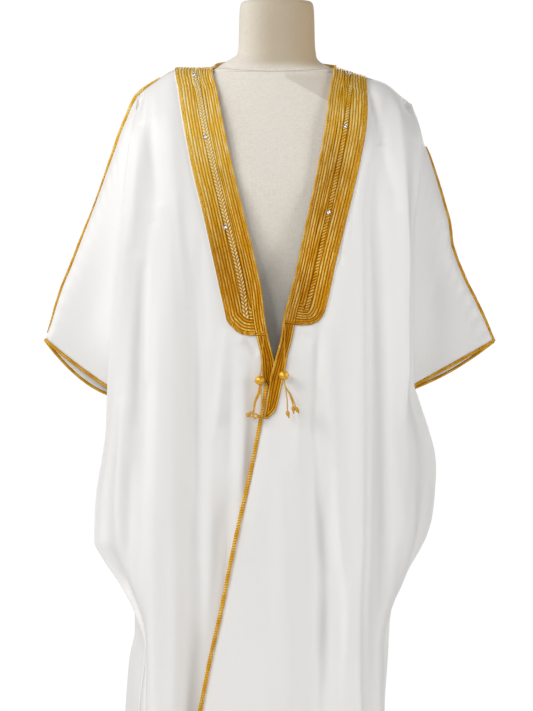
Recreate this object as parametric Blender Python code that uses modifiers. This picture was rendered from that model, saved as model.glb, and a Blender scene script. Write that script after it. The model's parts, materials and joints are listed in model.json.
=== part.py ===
# A white open cloak with broad gold bands down the front, hanging on a linen dress form with a
# neck, on a pole and a round base. Metres, +Z up, the front faces -Y. Right and left are the
# wearer's, so the right front is the one with the lower x.
import bpy
import numpy as np

WALL = 0.0016           # cloth
SEAM = 0.0004           # room left at a seam, and between a trim and the cloth under it
CLEAR = 0.0028          # outer face of the cloth over the form: the wall and a little air
HEM = 0.08              # height of the hem over the floor
ROLL = 0.13             # drop over which the cloth turns from the shoulder seam to hang
CORD = 0.0024           # radius of the gold cord along the shoulder and the sleeve
EDGE_CORD = 0.0034      # radius of the cord down the left front's edge
CUFF_CORD = 0.0022
RIDGE = 0.0013          # height of the ribs on the bands
LIFT = 0.0013           # room between a band and the cloth under it
BAND = 0.0009           # thickness of the bands between the ribs
RIBS = 8
BEAD = 0.0083
FORM_BASE = 0.86        # underside of the torso
POLE_R = 0.014
BASE_R = 0.17
BASE_T = 0.024
NECK_TOP = 1.611

# Sections of the form: height, half width, half depth, middle's y, exponent of the oval.
FORM = (
    (0.860, 0.160, 0.104, 0.004, 2.3),
    (0.930, 0.160, 0.106, 0.004, 2.3),
    (1.030, 0.137, 0.095, 0.002, 2.3),
    (1.130, 0.148, 0.103, -0.002, 2.4),
    (1.230, 0.165, 0.116, -0.006, 2.5),
    (1.300, 0.176, 0.119, -0.006, 2.5),
    (1.360, 0.190, 0.112, -0.002, 2.4),
    (1.405, 0.199, 0.101, 0.002, 2.3),
    (1.435, 0.196, 0.089, 0.004, 2.2),
    (1.458, 0.181, 0.078, 0.006, 2.1),
    (1.476, 0.156, 0.070, 0.007, 2.0),
    (1.488, 0.126, 0.066, 0.007, 2.0),
    (1.496, 0.101, 0.065, 0.007, 2.0),
)
# The neck: height, half width, half depth, middle's y.
NECK = (
    (1.4965, 0.0950, 0.0650, 0.006),
    (1.5000, 0.0840, 0.0645, 0.006),
    (1.5055, 0.0725, 0.0636, 0.006),
    (1.5110, 0.0680, 0.0628, 0.006),
    (1.5220, 0.0648, 0.0615, 0.005),
    (1.5400, 0.0628, 0.0600, 0.004),
    (1.5850, 0.0616, 0.0590, 0.000),
    (1.6030, 0.0600, 0.0572, -0.001),
    (1.6095, 0.0550, 0.0522, -0.001),
    (NECK_TOP, 0.0470, 0.0445, -0.001),
)
NECK_X = 0.003

# Front edges of the two fronts: height, x of the inner edge, x of the band's outer edge.
EDGE_RIGHT = (
    (1.4987, -0.1017, -0.1635), (1.4164, -0.0869, -0.1509), (1.3316, -0.0685, -0.1348),
    (1.2561, -0.0502, -0.1165), (1.1828, -0.0321, -0.1001), (1.1329, -0.0218, -0.0892),
    (1.0954, -0.0174, -0.0810), (1.0600, -0.0114, -0.0755), (1.0185, -0.0010, -0.0717),
    (0.9556, 0.0049, -0.0717), (0.7500, 0.0100, -0.0766), (0.5500, 0.0140, -0.0815),
    (HEM, 0.0220, -0.0864),
)
EDGE_LEFT = (
    (1.4964, 0.0927, 0.1488), (1.4506, 0.0882, 0.1522), (1.4048, 0.0825, 0.1491),
    (1.3430, 0.0711, 0.1386), (1.2860, 0.0595, 0.1255), (1.2327, 0.0479, 0.1123),
    (1.1766, 0.0363, 0.0983), (1.1349, 0.0261, 0.0897), (1.0914, 0.0147, 0.0799),
    (1.0560, 0.0095, 0.0734), (1.0164, -0.0010, 0.0652), (0.9833, -0.0093, 0.0587),
    (0.9458, -0.0155, 0.0505), (0.9067, -0.0228, 0.0450), (0.8676, -0.0303, 0.0538),
    (0.8007, -0.0448, 0.0690), (0.7551, -0.0553, 0.0740), (0.6964, -0.0676, 0.0790),
    (0.6133, -0.0843, 0.0790), (0.5391, -0.1011, 0.0750), (0.4650, -0.1156, 0.0740),
    (HEM, -0.1990, 0.0700),
)
# Where the middle line of that strip lies, as a share of its width.
MIDDLE_RIGHT = ((1.5, 0.5), (1.0, 0.5), (HEM, 0.5))
MIDDLE_LEFT = ((1.5, 0.5), (1.02, 0.5), (0.905, 0.53), (0.80, 0.55), (0.6964, 0.63), (0.5391, 0.72), (HEM, 0.80))

# Fold lines from the band outwards. LEVELS are heights; each row is one line: its x at every
# level, then how far it stands before (-) or behind (+) the front at every level, in mm.
LEVELS = (1.45, 1.25, 1.00, 0.75, 0.55, HEM)
FOLDS_RIGHT = (
    ("slope", -0.1695, -0.1288, -0.0880, -0.0980, -0.1020, -0.1100, 0, 0, 3, 6, 6, 2),
    ("valley", -0.1780, -0.1450, -0.1215, -0.1225, -0.1240, -0.1330, 0, 1, 8, 9, 8, 5),
    ("crest", -0.1870, -0.1680, -0.1680, -0.1700, -0.1700, -0.1790, 2, -1, -9, -11, -10, -8),
    ("bend", -0.1955, -0.1840, -0.1890, -0.1950, -0.1940, -0.2030, 4, 4, -6, -7, -6, -8),
    ("step", -0.2035, -0.1990, -0.2060, -0.2130, -0.2050, -0.2140, 8, 12, 12, 12, 8, 10),
    ("side", -0.2110, -0.2210, -0.2410, -0.2540, -0.2080, -0.2190, 12, 17, 20, 36, 42, 50),
)
FOLDS_LEFT = (
    ("slope", 0.1600, 0.1250, 0.0897, 0.1040, 0.1043, 0.1200, 0, -1, -6, -2, -3, -3),
    ("bend", 0.1690, 0.1320, 0.1335, 0.1310, 0.1250, 0.1460, 2, -3, -9, -11, -11, -10),
    ("crest", 0.1760, 0.1410, 0.1425, 0.1405, 0.1345, 0.1555, 5, -3, -11, -14, -14, -13),
    ("step", 0.1850, 0.1540, 0.1560, 0.1540, 0.1470, 0.1670, 8, 9, 10, 13, 14, 14),
    ("slope", 0.1950, 0.1840, 0.1842, 0.2060, 0.1680, 0.1830, 8, 8, 6, 7, 24, 28),
    ("ridge", 0.2040, 0.2040, 0.2060, 0.2260, 0.1760, 0.1880, 12, 4, 2, 30, 44, 50),
)
# Outline of the fronts at the side: height, x, y.
DRAPE_RIGHT = (
    (1.4544, -0.2200, -0.001), (1.4006, -0.2341, -0.062), (1.3549, -0.2398, -0.086),
    (1.3028, -0.2453, -0.100), (1.2425, -0.2510, -0.108), (1.1870, -0.2566, -0.110),
    (1.1300, -0.2621, -0.110), (1.0746, -0.2658, -0.109), (1.0183, -0.2696, -0.106),
    (0.9719, -0.2727, -0.100), (0.9051, -0.2756, -0.084), (0.8513, -0.2840, -0.066),
    (0.8007, -0.2923, -0.052), (0.7551, -0.2952, -0.046), (0.7258, -0.2960, -0.044),
    (0.7000, -0.2840, -0.044), (0.6597, -0.2569, -0.047), (0.6312, -0.2403, -0.052),
    (0.6100, -0.2298, -0.056), (0.5888, -0.2217, -0.060), (0.5481, -0.2110, -0.062),
    (0.4500, -0.2150, -0.062), (HEM, -0.2240, -0.066),
)
DRAPE_LEFT = (
    (1.4400, 0.2185, -0.001), (1.4120, 0.2330, -0.040), (1.3778, 0.2395, -0.070),
    (1.3000, 0.2335, -0.098), (1.2327, 0.2260, -0.108), (1.1700, 0.2249, -0.111),
    (1.1000, 0.2249, -0.112), (1.0400, 0.2252, -0.110), (0.9833, 0.2257, -0.104),
    (0.9600, 0.2325, -0.098), (0.9377, 0.2399, -0.090), (0.9002, 0.2525, -0.076),
    (0.8676, 0.2608, -0.064), (0.8431, 0.2629, -0.058), (0.8007, 0.2608, -0.052),
    (0.7632, 0.2566, -0.048), (0.7339, 0.2482, -0.046), (0.7054, 0.2337, -0.047),
    (0.6801, 0.2192, -0.050), (0.6426, 0.2026, -0.056), (0.6182, 0.1900, -0.060),
    (0.5302, 0.1839, -0.062), (0.4487, 0.1790, -0.062), (HEM, 0.1900, -0.066),
)
# The armhole, and below it the side seam: height, x, y of the front's edge, y of the back's.
SIDE_RIGHT = (
    (1.4544, -0.2270, -0.0004, 0.0004), (1.4300, -0.2275, -0.032, 0.034), (1.3800, -0.2265, -0.056, 0.058),
    (1.3000, -0.2260, -0.072, 0.066), (1.2000, -0.2265, -0.077, 0.069), (1.1000, -0.2280, -0.069, 0.065),
    (1.0300, -0.2280, -0.050, 0.048), (0.9850, -0.2260, -0.026, 0.026), (0.9600, -0.2270, -0.0006, 0.0006),
    (0.9000, -0.2380, -0.0006, 0.0006), (0.8200, -0.2540, -0.0006, 0.0006),
    (0.7300, -0.2650, -0.0006, 0.0006), (0.6600, -0.2400, -0.0006, 0.0006), (0.6000, -0.2150, -0.0006, 0.0006),
    (0.5400, -0.2130, -0.0006, 0.0006), (0.4500, -0.2220, -0.0006, 0.0006), (HEM, -0.2360, -0.0006, 0.0006),
)
SIDE_LEFT = (
    (1.4400, 0.2250, -0.0004, 0.0004), (1.4150, 0.2260, -0.030, 0.032), (1.3700, 0.2190, -0.054, 0.056),
    (1.3000, 0.2070, -0.072, 0.066), (1.2000, 0.1995, -0.077, 0.069), (1.1000, 0.1990, -0.071, 0.065),
    (1.0300, 0.2000, -0.052, 0.048), (0.9850, 0.2010, -0.027, 0.026), (0.9600, 0.2020, -0.0006, 0.0006),
    (0.9000, 0.2200, -0.0006, 0.0006), (0.8300, 0.2330, -0.0006, 0.0006), (0.7600, 0.2280, -0.0006, 0.0006),
    (0.6900, 0.2030, -0.0006, 0.0006), (0.6200, 0.1790, -0.0006, 0.0006), (0.5300, 0.1750, -0.0006, 0.0006),
    (HEM, 0.1860, -0.0006, 0.0006),
)
# Top line of each sleeve, from the shoulder to the tip: x, y, z.
TOP_RIGHT = (
    (-0.2275, 0.000, 1.4540), (-0.2400, 0.000, 1.4229), (-0.2525, 0.000, 1.3931),
    (-0.2620, 0.000, 1.3650), (-0.2760, 0.000, 1.3270), (-0.2965, 0.000, 1.2710),
    (-0.3165, 0.000, 1.2200), (-0.3330, 0.000, 1.1770), (-0.3480, 0.000, 1.1420),
    (-0.3580, 0.000, 1.1120), (-0.3690, 0.000, 1.0750), (-0.3760, 0.000, 1.0560),
)
TOP_LEFT = (
    (0.2255, 0.004, 1.4390), (0.2360, 0.006, 1.4070), (0.2430, 0.006, 1.3778),
    (0.2525, 0.006, 1.3554), (0.2640, 0.004, 1.3181), (0.2750, 0.002, 1.2808),
    (0.2843, 0.000, 1.2474), (0.2885, 0.000, 1.2099), (0.2975, 0.000, 1.1838),
    (0.3120, 0.000, 1.1496), (0.3275, 0.000, 1.1202), (0.3420, 0.000, 1.0901),
    (0.3525, 0.000, 1.0658), (0.3574, 0.000, 1.0534),
)
# Low end of each cuff, and how far the cuff's front and back edges sag under a straight line.
CUFF_RIGHT = (-0.2440, 0.9600, 0.004, 0.021)
CUFF_LEFT = (0.2080, 0.9700, 0.000, 0.009)

# The front hangs forward of the form: height, y of the front, y of the back.
HANG = (
    (1.50, -0.070, 0.085), (1.45, -0.094, 0.104), (1.40, -0.108, 0.120), (1.35, -0.119, 0.131),
    (1.30, -0.129, 0.136), (1.25, -0.135, 0.138), (1.15, -0.141, 0.140), (1.00, -0.146, 0.143),
    (0.75, -0.150, 0.148), (0.55, -0.153, 0.152), (HEM, -0.160, 0.160),
)
# Outline of the back at each side, and its folds: height, x of the right, x of the left.
BACK_SIDE = (
    (1.4544, -0.2215, 0.2200), (1.4100, -0.2330, 0.2300), (1.3500, -0.2400, 0.2330),
    (1.2500, -0.2470, 0.2260), (1.1000, -0.2560, 0.2240), (0.9700, -0.2640, 0.2250),
    (0.8500, -0.2700, 0.2450), (0.7500, -0.2720, 0.2430), (0.6800, -0.2520, 0.2180),
    (0.6200, -0.2320, 0.1900), (0.5730, -0.2319, 0.1830), (0.5300, -0.2403, 0.1800),
    (0.4490, -0.2470, 0.1780), (HEM, -0.2660, 0.1860),
)
# Back folds as rows: share of the way across at the top and at the hem, depth at the shoulder
# blades, at the waist and at the hem, in mm, + away from the wearer.
BACK_FOLDS = (
    ("step", 0.045, 0.05, -10, -12, -12), ("ridge", 0.13, 0.13, 2, 10, 15),
    ("valley", 0.22, 0.23, 0, -9, -13), ("ridge", 0.31, 0.33, 2, 9, 16),
    ("valley", 0.40, 0.41, 0, -8, -14), ("ridge", 0.48, 0.50, 2, 7, 13),
    ("valley", 0.57, 0.58, 0, -9, -15), ("ridge", 0.67, 0.66, 2, 11, 17),
    ("valley", 0.77, 0.76, 0, -8, -14), ("ridge", 0.87, 0.87, 2, 10, 14),
    ("step", 0.955, 0.95, -10, -12, -12),
)
# How fast each shoulder falls away from the neck.
SLOPE_RIGHT = 2.6
SLOPE_LEFT = 1.65
NECK_BACK = (0.022, 0.078)   # rise and depth of the neckline behind the neck


def along(table, column, at):
    """Smooth line without overshoot through one column of a table whose first column runs one way."""
    rows = np.array(table, float)
    rows = rows[np.argsort(rows[:, 0])]
    x = rows[:, 0]
    y = rows[:, column]
    step = np.diff(x)
    slope = np.diff(y) / step
    tangent = np.zeros(len(x))
    tangent[0] = slope[0]
    tangent[-1] = slope[-1]
    same = slope[:-1] * slope[1:] > 0
    low = 2 * step[1:] + step[:-1]
    high = step[1:] + 2 * step[:-1]
    safe = np.where(same, slope[:-1], 1.0)
    safe_next = np.where(same, slope[1:], 1.0)
    tangent[1:-1] = np.where(same, (low + high) / (low / safe + high / safe_next), 0.0)
    at = np.clip(np.asarray(at, float), x[0], x[-1])
    i = np.clip(np.searchsorted(x, at, side="right") - 1, 0, len(x) - 2)
    h = step[i]
    t = (at - x[i]) / h
    return (
        y[i] * (1 + 2 * t) * (1 - t) ** 2 + tangent[i] * h * t * (1 - t) ** 2
        + y[i + 1] * t * t * (3 - 2 * t) + tangent[i + 1] * h * t * t * (t - 1)
    )


def form_out(points, clear):
    """Points moved out of the form, to this far from its surface."""
    points = points.copy()

    def value(p):
        z = p[..., 2]
        a = along(FORM, 1, z)
        b = along(FORM, 2, z)
        n = along(FORM, 4, z)
        r = np.abs(p[..., 0] / a) ** n + np.abs((p[..., 1] - along(FORM, 3, z)) / b) ** n
        over = np.maximum(z - FORM[-1][0], 0) * 12
        return np.maximum(r, 1e-9) ** (1 / n) - 1 + over

    for _ in range(8):
        f = value(points)
        grad = np.zeros_like(points)
        for axis in range(3):
            moved = points.copy()
            moved[..., axis] += 1e-4
            grad[..., axis] = (value(moved) - f) / 1e-4
        size = np.maximum(np.linalg.norm(grad, axis=-1), 1e-6)
        lack = np.maximum(clear - f / size, 0)
        points += grad / size[..., None] * np.minimum(lack, 0.004)[..., None]
    return points


def through(keys, cuts):
    """Lines through key lines (key, row, xyz), with this many steps after each key."""
    keys = np.asarray(keys)
    n = len(keys)
    gap = np.linalg.norm(np.diff(keys, axis=0), axis=-1)[..., None] + 1e-6
    slope = np.diff(keys, axis=0) / gap
    tangent = np.empty_like(keys)
    tangent[1:-1] = (slope[:-1] * gap[1:] + slope[1:] * gap[:-1]) / (gap[1:] + gap[:-1])
    tangent[0] = slope[0]
    tangent[-1] = slope[-1]
    out = []
    for i in range(n - 1):
        for j in range(cuts[i]):
            t = j / cuts[i]
            out.append(
                keys[i] * (1 + 2 * t) * (1 - t) ** 2 + tangent[i] * gap[i] * t * (1 - t) ** 2
                + keys[i + 1] * t * t * (3 - 2 * t) + tangent[i + 1] * gap[i] * t * t * (t - 1)
            )
    out.append(keys[-1])
    return np.stack(out)


def rolled(drop):
    """How far round from the seam to hanging the cloth is, 0 to 1, after this drop."""
    d = np.clip(drop / ROLL, 0, 1)
    return np.sqrt(1 - (1 - d) ** 2)


def front(edge, middle, folds, drape, side, drops):
    """A front's key lines (line, row, xyz), from its edge to the side seam."""
    sign = np.sign(side[0][1])
    top = side[0][0]
    neck_z = edge[0][0]
    levels = np.array(LEVELS)

    def seam_z(x):
        share = np.clip((np.abs(x) - abs(edge[0][1])) / (abs(side[0][1]) - abs(edge[0][1])), 0, 1)
        return neck_z - (neck_z - top) * share ** (SLOPE_RIGHT if sign < 0 else SLOPE_LEFT)

    def line(x_of, y_of, x_top):
        start = seam_z(x_top)
        span = start - HEM
        z = start - drops * span / (drops[-1])
        x = x_of(z)
        near = np.clip(drops / 0.03, 0, 1)
        x = x_top + (x - x_top) * near
        return np.stack([x, y_of(z, start - z), z], -1)

    def hang(z, drop, dy):
        return rolled(drop) * (along(HANG, 1, z) + dy)

    keys = []
    inner = lambda z: along(edge, 1, z)
    outer = lambda z: along(edge, 2, z)
    for share in (0, 0.25, 0.5, 0.75, 1):
        def x_of(z, share=share):
            m = along(middle, 1, z)
            s = share * 2 * m if share <= 0.5 else m + (share - 0.5) * 2 * (1 - m)
            return inner(z) + (outer(z) - inner(z)) * s
        def y_of(z, drop, share=share):
            low = np.clip((1.0 - z) / 0.25, 0, 1)
            bump = {0: 0.0, 0.25: -0.002, 0.5: -0.011 if sign > 0 else 0.003, 0.75: -0.003, 1: 0.006}[share]
            return hang(z, drop, bump * low)
        x_top = edge[0][1] + (edge[0][2] - edge[0][1]) * share
        keys.append(line(x_of, y_of, x_top))
    for row in folds:
        xs = [(a, b) for a, b in zip(levels, row[1:7])]
        ys = [(a, b / 1000) for a, b in zip(levels, row[7:13])]
        keys.append(line(
            lambda z: along(xs, 1, z), lambda z, d: hang(z, d, along(ys, 1, z)), row[1]))
    for dx, dy in ((-0.010, -0.008), (0, 0), (-0.006, 0.016)):
        def x_of(z):
            j = np.clip((top - z) / 0.10, 0, 1)
            return along(drape, 1, z) + sign * dx * j
        def y_of(z, drop):
            j = np.clip((top - z) / 0.10, 0, 1)
            low = 1 - 0.5 * np.clip((0.97 - z) / 0.2, 0, 1)
            return along(drape, 2, z) + dy * j * low
        shift = {(-0.010, -0.008): -0.0035, (0, 0): 0.0, (-0.006, 0.016): 0.0032}[(dx, dy)]
        keys.append(line(x_of, y_of, drape[0][1] + sign * shift))
    keys.append(line(
        lambda z: along(side, 1, z), lambda z, d: along(side, 2, z), side[0][1]))
    return np.array(keys)


FRONT_DROPS = np.array((
    0, 0.003, 0.009, 0.018, 0.030, 0.045, 0.064, 0.088, 0.118, 0.150, 0.185, 0.225, 0.270, 0.318,
    0.362, 0.395, 0.418, 0.438, 0.462, 0.490, 0.515, 0.545, 0.585, 0.630, 0.680, 0.725,
    0.760, 0.790, 0.825, 0.860, 0.892, 0.925, 0.980, 1.060, 1.170, 1.290, 1.4187,
))
FRONT_CUTS = (1, 1, 1, 1, 1, 2, 2, 2, 1, 1, 1, 1, 1, 2)


def at_height(grid, x, z, column=1):
    """The y of a sheet's points (column, row, xyz) at this x and height, between its lines."""
    x = np.atleast_1d(x)
    z = np.atleast_1d(z)
    out = np.empty(len(x))
    for k in range(len(x)):
        xs = np.array([np.interp(-z[k], -line[:, 2], line[:, 0]) for line in grid])
        ys = np.array([np.interp(-z[k], -line[:, 2], line[:, 1]) for line in grid])
        order = np.argsort(xs, kind="stable")
        out[k] = np.interp(x[k], xs[order], ys[order])
    return out


def over(grid, below, room, room_low):
    """The left front moved forward where it lies on the right one."""
    grid = grid.copy()
    strip = below[: len(below) - 3]
    flat = grid.reshape(-1, 3)
    z = flat[:, 2]
    lowest = at_height(strip, flat[:, 0], z)
    span = 0.100
    inner = along(EDGE_RIGHT, 1, z)
    into = np.clip((inner + span - flat[:, 0]) / span, 0, 1)
    into = into * into * (3 - 2 * into)
    down = np.clip((1.075 - z) / 0.05, 0, 1)
    share = np.clip((1.0 - z) / (1.0 - HEM), 0, 1)
    aim = np.minimum(flat[:, 1], lowest - room - (room_low - room) * share)
    flat[:, 1] += (aim - flat[:, 1]) * into * down
    return grid


def back(drops):
    """The back's key lines (line, row, xyz), from the wearer's right side to the left one."""
    right, left = SIDE_RIGHT, SIDE_LEFT
    keys = []

    def top_of(x):
        near_r = abs(EDGE_RIGHT[0][1])
        near_l = EDGE_LEFT[0][1]
        if x < -near_r or x > near_l:
            edge, side = (EDGE_RIGHT, right) if x < 0 else (EDGE_LEFT, left)
            share = np.clip((abs(x) - abs(edge[0][1])) / (abs(side[0][1]) - abs(edge[0][1])), 0, 1)
            slope = SLOPE_RIGHT if x < 0 else SLOPE_LEFT
            return SEAM + 0.0022, edge[0][0] - (edge[0][0] - side[0][0]) * share ** slope
        share = np.clip((x + near_r) / (near_l + near_r), 0, 1)
        round_ = np.sqrt(np.clip(1 - (2 * share - 1) ** 2, 0, 1))
        level = EDGE_RIGHT[0][0] + (EDGE_LEFT[0][0] - EDGE_RIGHT[0][0]) * share
        return SEAM + 0.0022 + NECK_BACK[1] * round_, level + NECK_BACK[0] * round_ ** 1.3

    def line(x_top, x_of, y_of):
        y0, start = top_of(x_top)
        z = start - drops * (start - HEM) / drops[-1]
        near = np.clip(drops / 0.03, 0, 1)
        x = x_top + (x_of(z) - x_top) * near
        y = y0 + (y_of(z) - y0) * rolled(start - z)
        return np.stack([x, y, z], -1)

    def edge_keys(side, column, sign):
        found = [line(side[0][1], lambda z: along(side, 1, z), lambda z: along(side, 3, z))]
        for dx, dy, shift in ((-0.006, 0.090, 0.0032), (0, 0.104, 0.0), (-0.012, 0.114, -0.0035)):
            def x_of(z, dx=dx):
                j = np.clip((1.45 - z) / 0.10, 0, 1)
                return along(BACK_SIDE, column, z) + sign * dx * j
            def y_of(z, dy=dy):
                low = 1 - 0.42 * np.clip((0.97 - z) / 0.2, 0, 1) * (0.120 - dy) / 0.036
                return dy * low
            found.append(line(BACK_SIDE[0][column] + sign * shift, x_of, y_of))
        return found

    keys += edge_keys(right, 1, -1)
    for name, share_top, share_low, blades, waist, low in BACK_FOLDS:
        depth = ((1.5, 0), (1.38, blades / 2000), (1.25, blades / 1000), (0.95, waist / 1000),
                 (HEM, low / 1000))
        def x_of(z, a=share_top, b=share_low):
            share = a + (b - a) * np.clip((1.45 - z) / 1.37, 0, 1)
            r = along(BACK_SIDE, 1, z)
            return r + (along(BACK_SIDE, 2, z) - r) * share
        def y_of(z, depth=depth):
            return along(HANG, 2, z) + along(depth, 1, z)
        x_top = BACK_SIDE[0][1] + (BACK_SIDE[0][2] - BACK_SIDE[0][1]) * share_top
        keys.append(line(x_top, x_of, y_of))
    keys += edge_keys(left, 2, 1)[::-1]
    return np.array(keys)


BACK_DROPS = np.array((
    0, 0.003, 0.010, 0.022, 0.038, 0.058, 0.085, 0.120, 0.170, 0.235, 0.310, 0.385,
    0.440, 0.475, 0.500, 0.550, 0.620, 0.700, 0.760, 0.815, 0.870, 0.930, 1.040, 1.220, 1.4187,
))
BACK_CUTS = (2, 1, 1) + (1,) + (2,) * 10 + (1,) + (1, 1, 2)


def sleeve(top, side, cuff, around):
    """A sleeve as rings (ring, point, xyz) from the armhole to the cuff, the top line at point 0."""
    top = np.array(top, float)
    tip = top[-1]
    start = top[0]
    low_z = 0.9668
    sign = np.sign(tip[0])
    length = np.concatenate([[0], np.cumsum(np.linalg.norm(np.diff(top, axis=0), axis=1))])
    length = length / length[-1]
    stations = SLEEVE_STATIONS
    ridge = np.stack([np.interp(stations, length, top[:, i]) for i in range(3)], -1)
    turn = np.linspace(0, 1, around + 1) ** 1.0
    turn = 0.5 - 0.5 * np.cos(np.pi * turn)
    share = np.concatenate([turn, turn[-2:0:-1]])
    is_front = np.concatenate([np.ones(around + 1), np.zeros(around - 1)]).astype(bool)
    ends = np.sqrt(np.clip(1 - (2 * share - 1) ** 2, 0, 1))
    rings = []
    for s, point in zip(stations, ridge):
        hole_z = start[2] - 0.002 + (low_z - start[2] + 0.002) * share
        shut = np.where(is_front, along(side, 2, hole_z) + 0.0018, along(side, 3, hole_z) - 0.0030)
        shut = np.where((share < 1e-9) | (share > 1 - 1e-9), 0.5 * (start[1] + 0.0) * (share < 0.5), shut)
        hole_x = along(side, 1, hole_z) + sign * 0.0025
        low_x, low_y = cuff[0], cuff[1]
        sag = np.where(is_front, cuff[2], cuff[3]) * np.sin(np.pi * share) ** 0.8
        open_x = tip[0] + (low_x - tip[0]) * share
        open_z = tip[2] + (low_y - tip[2]) * share - sag
        half = np.where(is_front, -1, 1) * (0.0065 * np.minimum(ends * 2.4, 1) + 0.007 * ends)
        a = np.stack([hole_x, shut, hole_z], -1)
        b = np.stack([open_x, half, open_z], -1)
        ring = a + (b - a) * s
        line = start + (tip - start) * s
        ring += (point - line) * ((1 - share) ** 2)[:, None]
        wave = 0.006 * np.sin(np.pi * s) * np.sin(2 * np.pi * share) * ends
        ring[:, 1] += np.where(is_front, wave, -wave)
        keep = 0.0052 * np.minimum(ends * 3.2, 1)
        ring[:, 1] = np.where(is_front, np.minimum(ring[:, 1], point[1] * (1 - share) - keep),
                              np.maximum(ring[:, 1], point[1] * (1 - share) + keep))
        rings.append(ring)
    return np.array(rings)


SLEEVE_STATIONS = (0, 0.08, 0.18, 0.30, 0.42, 0.54, 0.66, 0.78, 0.89, 1.0)


def normals(grid):
    """Unit normals of a sheet (column, row, xyz), the same side all over."""
    across = np.gradient(grid, axis=0)
    down = np.gradient(grid, axis=1)
    n = np.cross(across, down)
    return n / np.maximum(np.linalg.norm(n, axis=-1, keepdims=True), 1e-12)


def material(name, colour, rough, metal=0.0):
    made = bpy.data.materials.new(name)
    made.use_nodes = True
    shader = made.node_tree.nodes["Principled BSDF"]
    shader.inputs["Base Color"].default_value = (*colour, 1)
    shader.inputs["Roughness"].default_value = rough
    shader.inputs["Metallic"].default_value = metal
    return made


def thing(name, points, faces, mat):
    mesh = bpy.data.meshes.new(name)
    mesh.from_pydata([tuple(map(float, p)) for p in points], [], faces)
    mesh.materials.append(mat)
    made = bpy.data.objects.new(name, mesh)
    PARTS.objects.link(made)
    return made


def cloth(name, grid, mat, flip, ring=False):
    """A sheet made into a wall: the points are its outer face."""
    cols, rows = grid.shape[:2]
    faces = []
    for i in range(cols if ring else cols - 1):
        for j in range(rows - 1):
            a, b = i * rows + j, (i + 1) % cols * rows + j
            quad = (a, b, b + 1, a + 1)
            faces.append(quad[::-1] if flip else quad)
    made = thing(name, grid.reshape(-1, 3), faces, mat)
    wall = made.modifiers.new("wall", "SOLIDIFY")
    wall.thickness = WALL
    wall.offset = -1
    return made


def loft(name, rings, mat):
    """A closed solid through rings of points that all run one way round."""
    rings = np.asarray(rings)
    count, n = rings.shape[:2]
    faces = [
        (i * n + j, i * n + (j + 1) % n, (i + 1) * n + (j + 1) % n, (i + 1) * n + j)
        for i in range(count - 1) for j in range(n)
    ]
    faces.append(tuple(range(n))[::-1])
    faces.append(tuple((count - 1) * n + j for j in range(n)))
    return thing(name, rings.reshape(-1, 3), faces, mat)


def tube(name, path, radius, sides, mat, closed=False, flat=1.0):
    """A cord along a path, with the same side kept towards the front."""
    path = np.asarray(path, float)
    if closed:
        tangent = np.roll(path, -1, 0) - np.roll(path, 1, 0)
    else:
        tangent = np.gradient(path, axis=0)
    tangent /= np.linalg.norm(tangent, axis=1)[:, None]
    side = np.cross(tangent, np.cross((0.13, -1.0, 0.21), tangent))
    side /= np.linalg.norm(side, axis=1)[:, None]
    other = np.cross(tangent, side)
    turn = np.arange(sides) / sides * 2 * np.pi
    radius = np.broadcast_to(radius, (len(path),))[:, None, None]
    rings = path[:, None] + radius * (
        side[:, None] * np.cos(turn)[:, None] * flat + other[:, None] * np.sin(turn)[:, None])
    if not closed:
        return loft(name, rings, mat)
    n = sides
    count = len(path)
    faces = [
        (i * n + j, i * n + (j + 1) % n, (i + 1) % count * n + (j + 1) % n, (i + 1) % count * n + j)
        for i in range(count) for j in range(n)
    ]
    return thing(name, rings.reshape(-1, 3), faces, mat)


def spaced(path, count):
    """This many points at even steps along a path."""
    path = np.asarray(path, float)
    run = np.concatenate([[0], np.cumsum(np.linalg.norm(np.diff(path, axis=0), axis=1))])
    at = np.linspace(0, run[-1], count)
    return np.stack([np.interp(at, run, path[:, i]) for i in range(3)], -1)


def strip(grid, facing, across, down, off):
    """Points on a front's strip beside its edge, moved out: across in columns, down in rows."""
    def sample(field):
        c = np.clip(across, 0, 4)
        i = np.minimum(c.astype(int), 3)
        r = np.clip(down, 0, field.shape[1] - 1.001)
        j = r.astype(int)
        u = (c - i)[..., None]
        v = (r - j)[..., None]
        return ((field[i, j] * (1 - u) + field[i + 1, j] * u) * (1 - v)
                + (field[i, j + 1] * (1 - u) + field[i + 1, j + 1] * u) * v)
    n = sample(facing)
    n = n / np.linalg.norm(n, axis=-1, keepdims=True)
    return sample(grid) + n * np.asarray(off)[..., None]


def band(name, grid, facing, widths, high, low, ribs, under, mat):
    """A ribbed band on the strip: a plain underside and ribs raised in the outer points."""
    edge_z = grid[0, :, 2]
    heights = [z for z in edge_z if low < z < high] + [high, low]
    heights += [row[0] for row in widths if low < row[0] < high]
    heights = np.array(sorted(set(np.round(heights, 5)), reverse=True))
    heights = heights[np.concatenate([[True], -np.diff(heights) > 0.0008])]
    down = np.interp(-heights, -edge_z, np.arange(len(edge_z)))
    wide = along(widths, 1, heights)
    out_share = np.linspace(0, 1, 2 * ribs + 1)
    in_share = np.linspace(1, 0, under)
    lift = np.where(np.arange(2 * ribs + 1) % 2 == 1, RIDGE, 0)
    lift = lift[None] * np.clip(wide * 1.6, 0.4, 1)[:, None]
    outer = strip(grid, facing, 4 * wide[:, None] * out_share, down[:, None] + 0 * out_share,
                  LIFT + BAND + lift)
    inner = strip(grid, facing, 4 * wide[:, None] * in_share, down[:, None] + 0 * in_share,
                  LIFT + 0 * wide[:, None] * in_share)
    rings = np.concatenate([outer, inner], axis=1)
    if FLIP[name]:
        rings = rings[:, ::-1]
    return loft(name, rings, mat)


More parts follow.
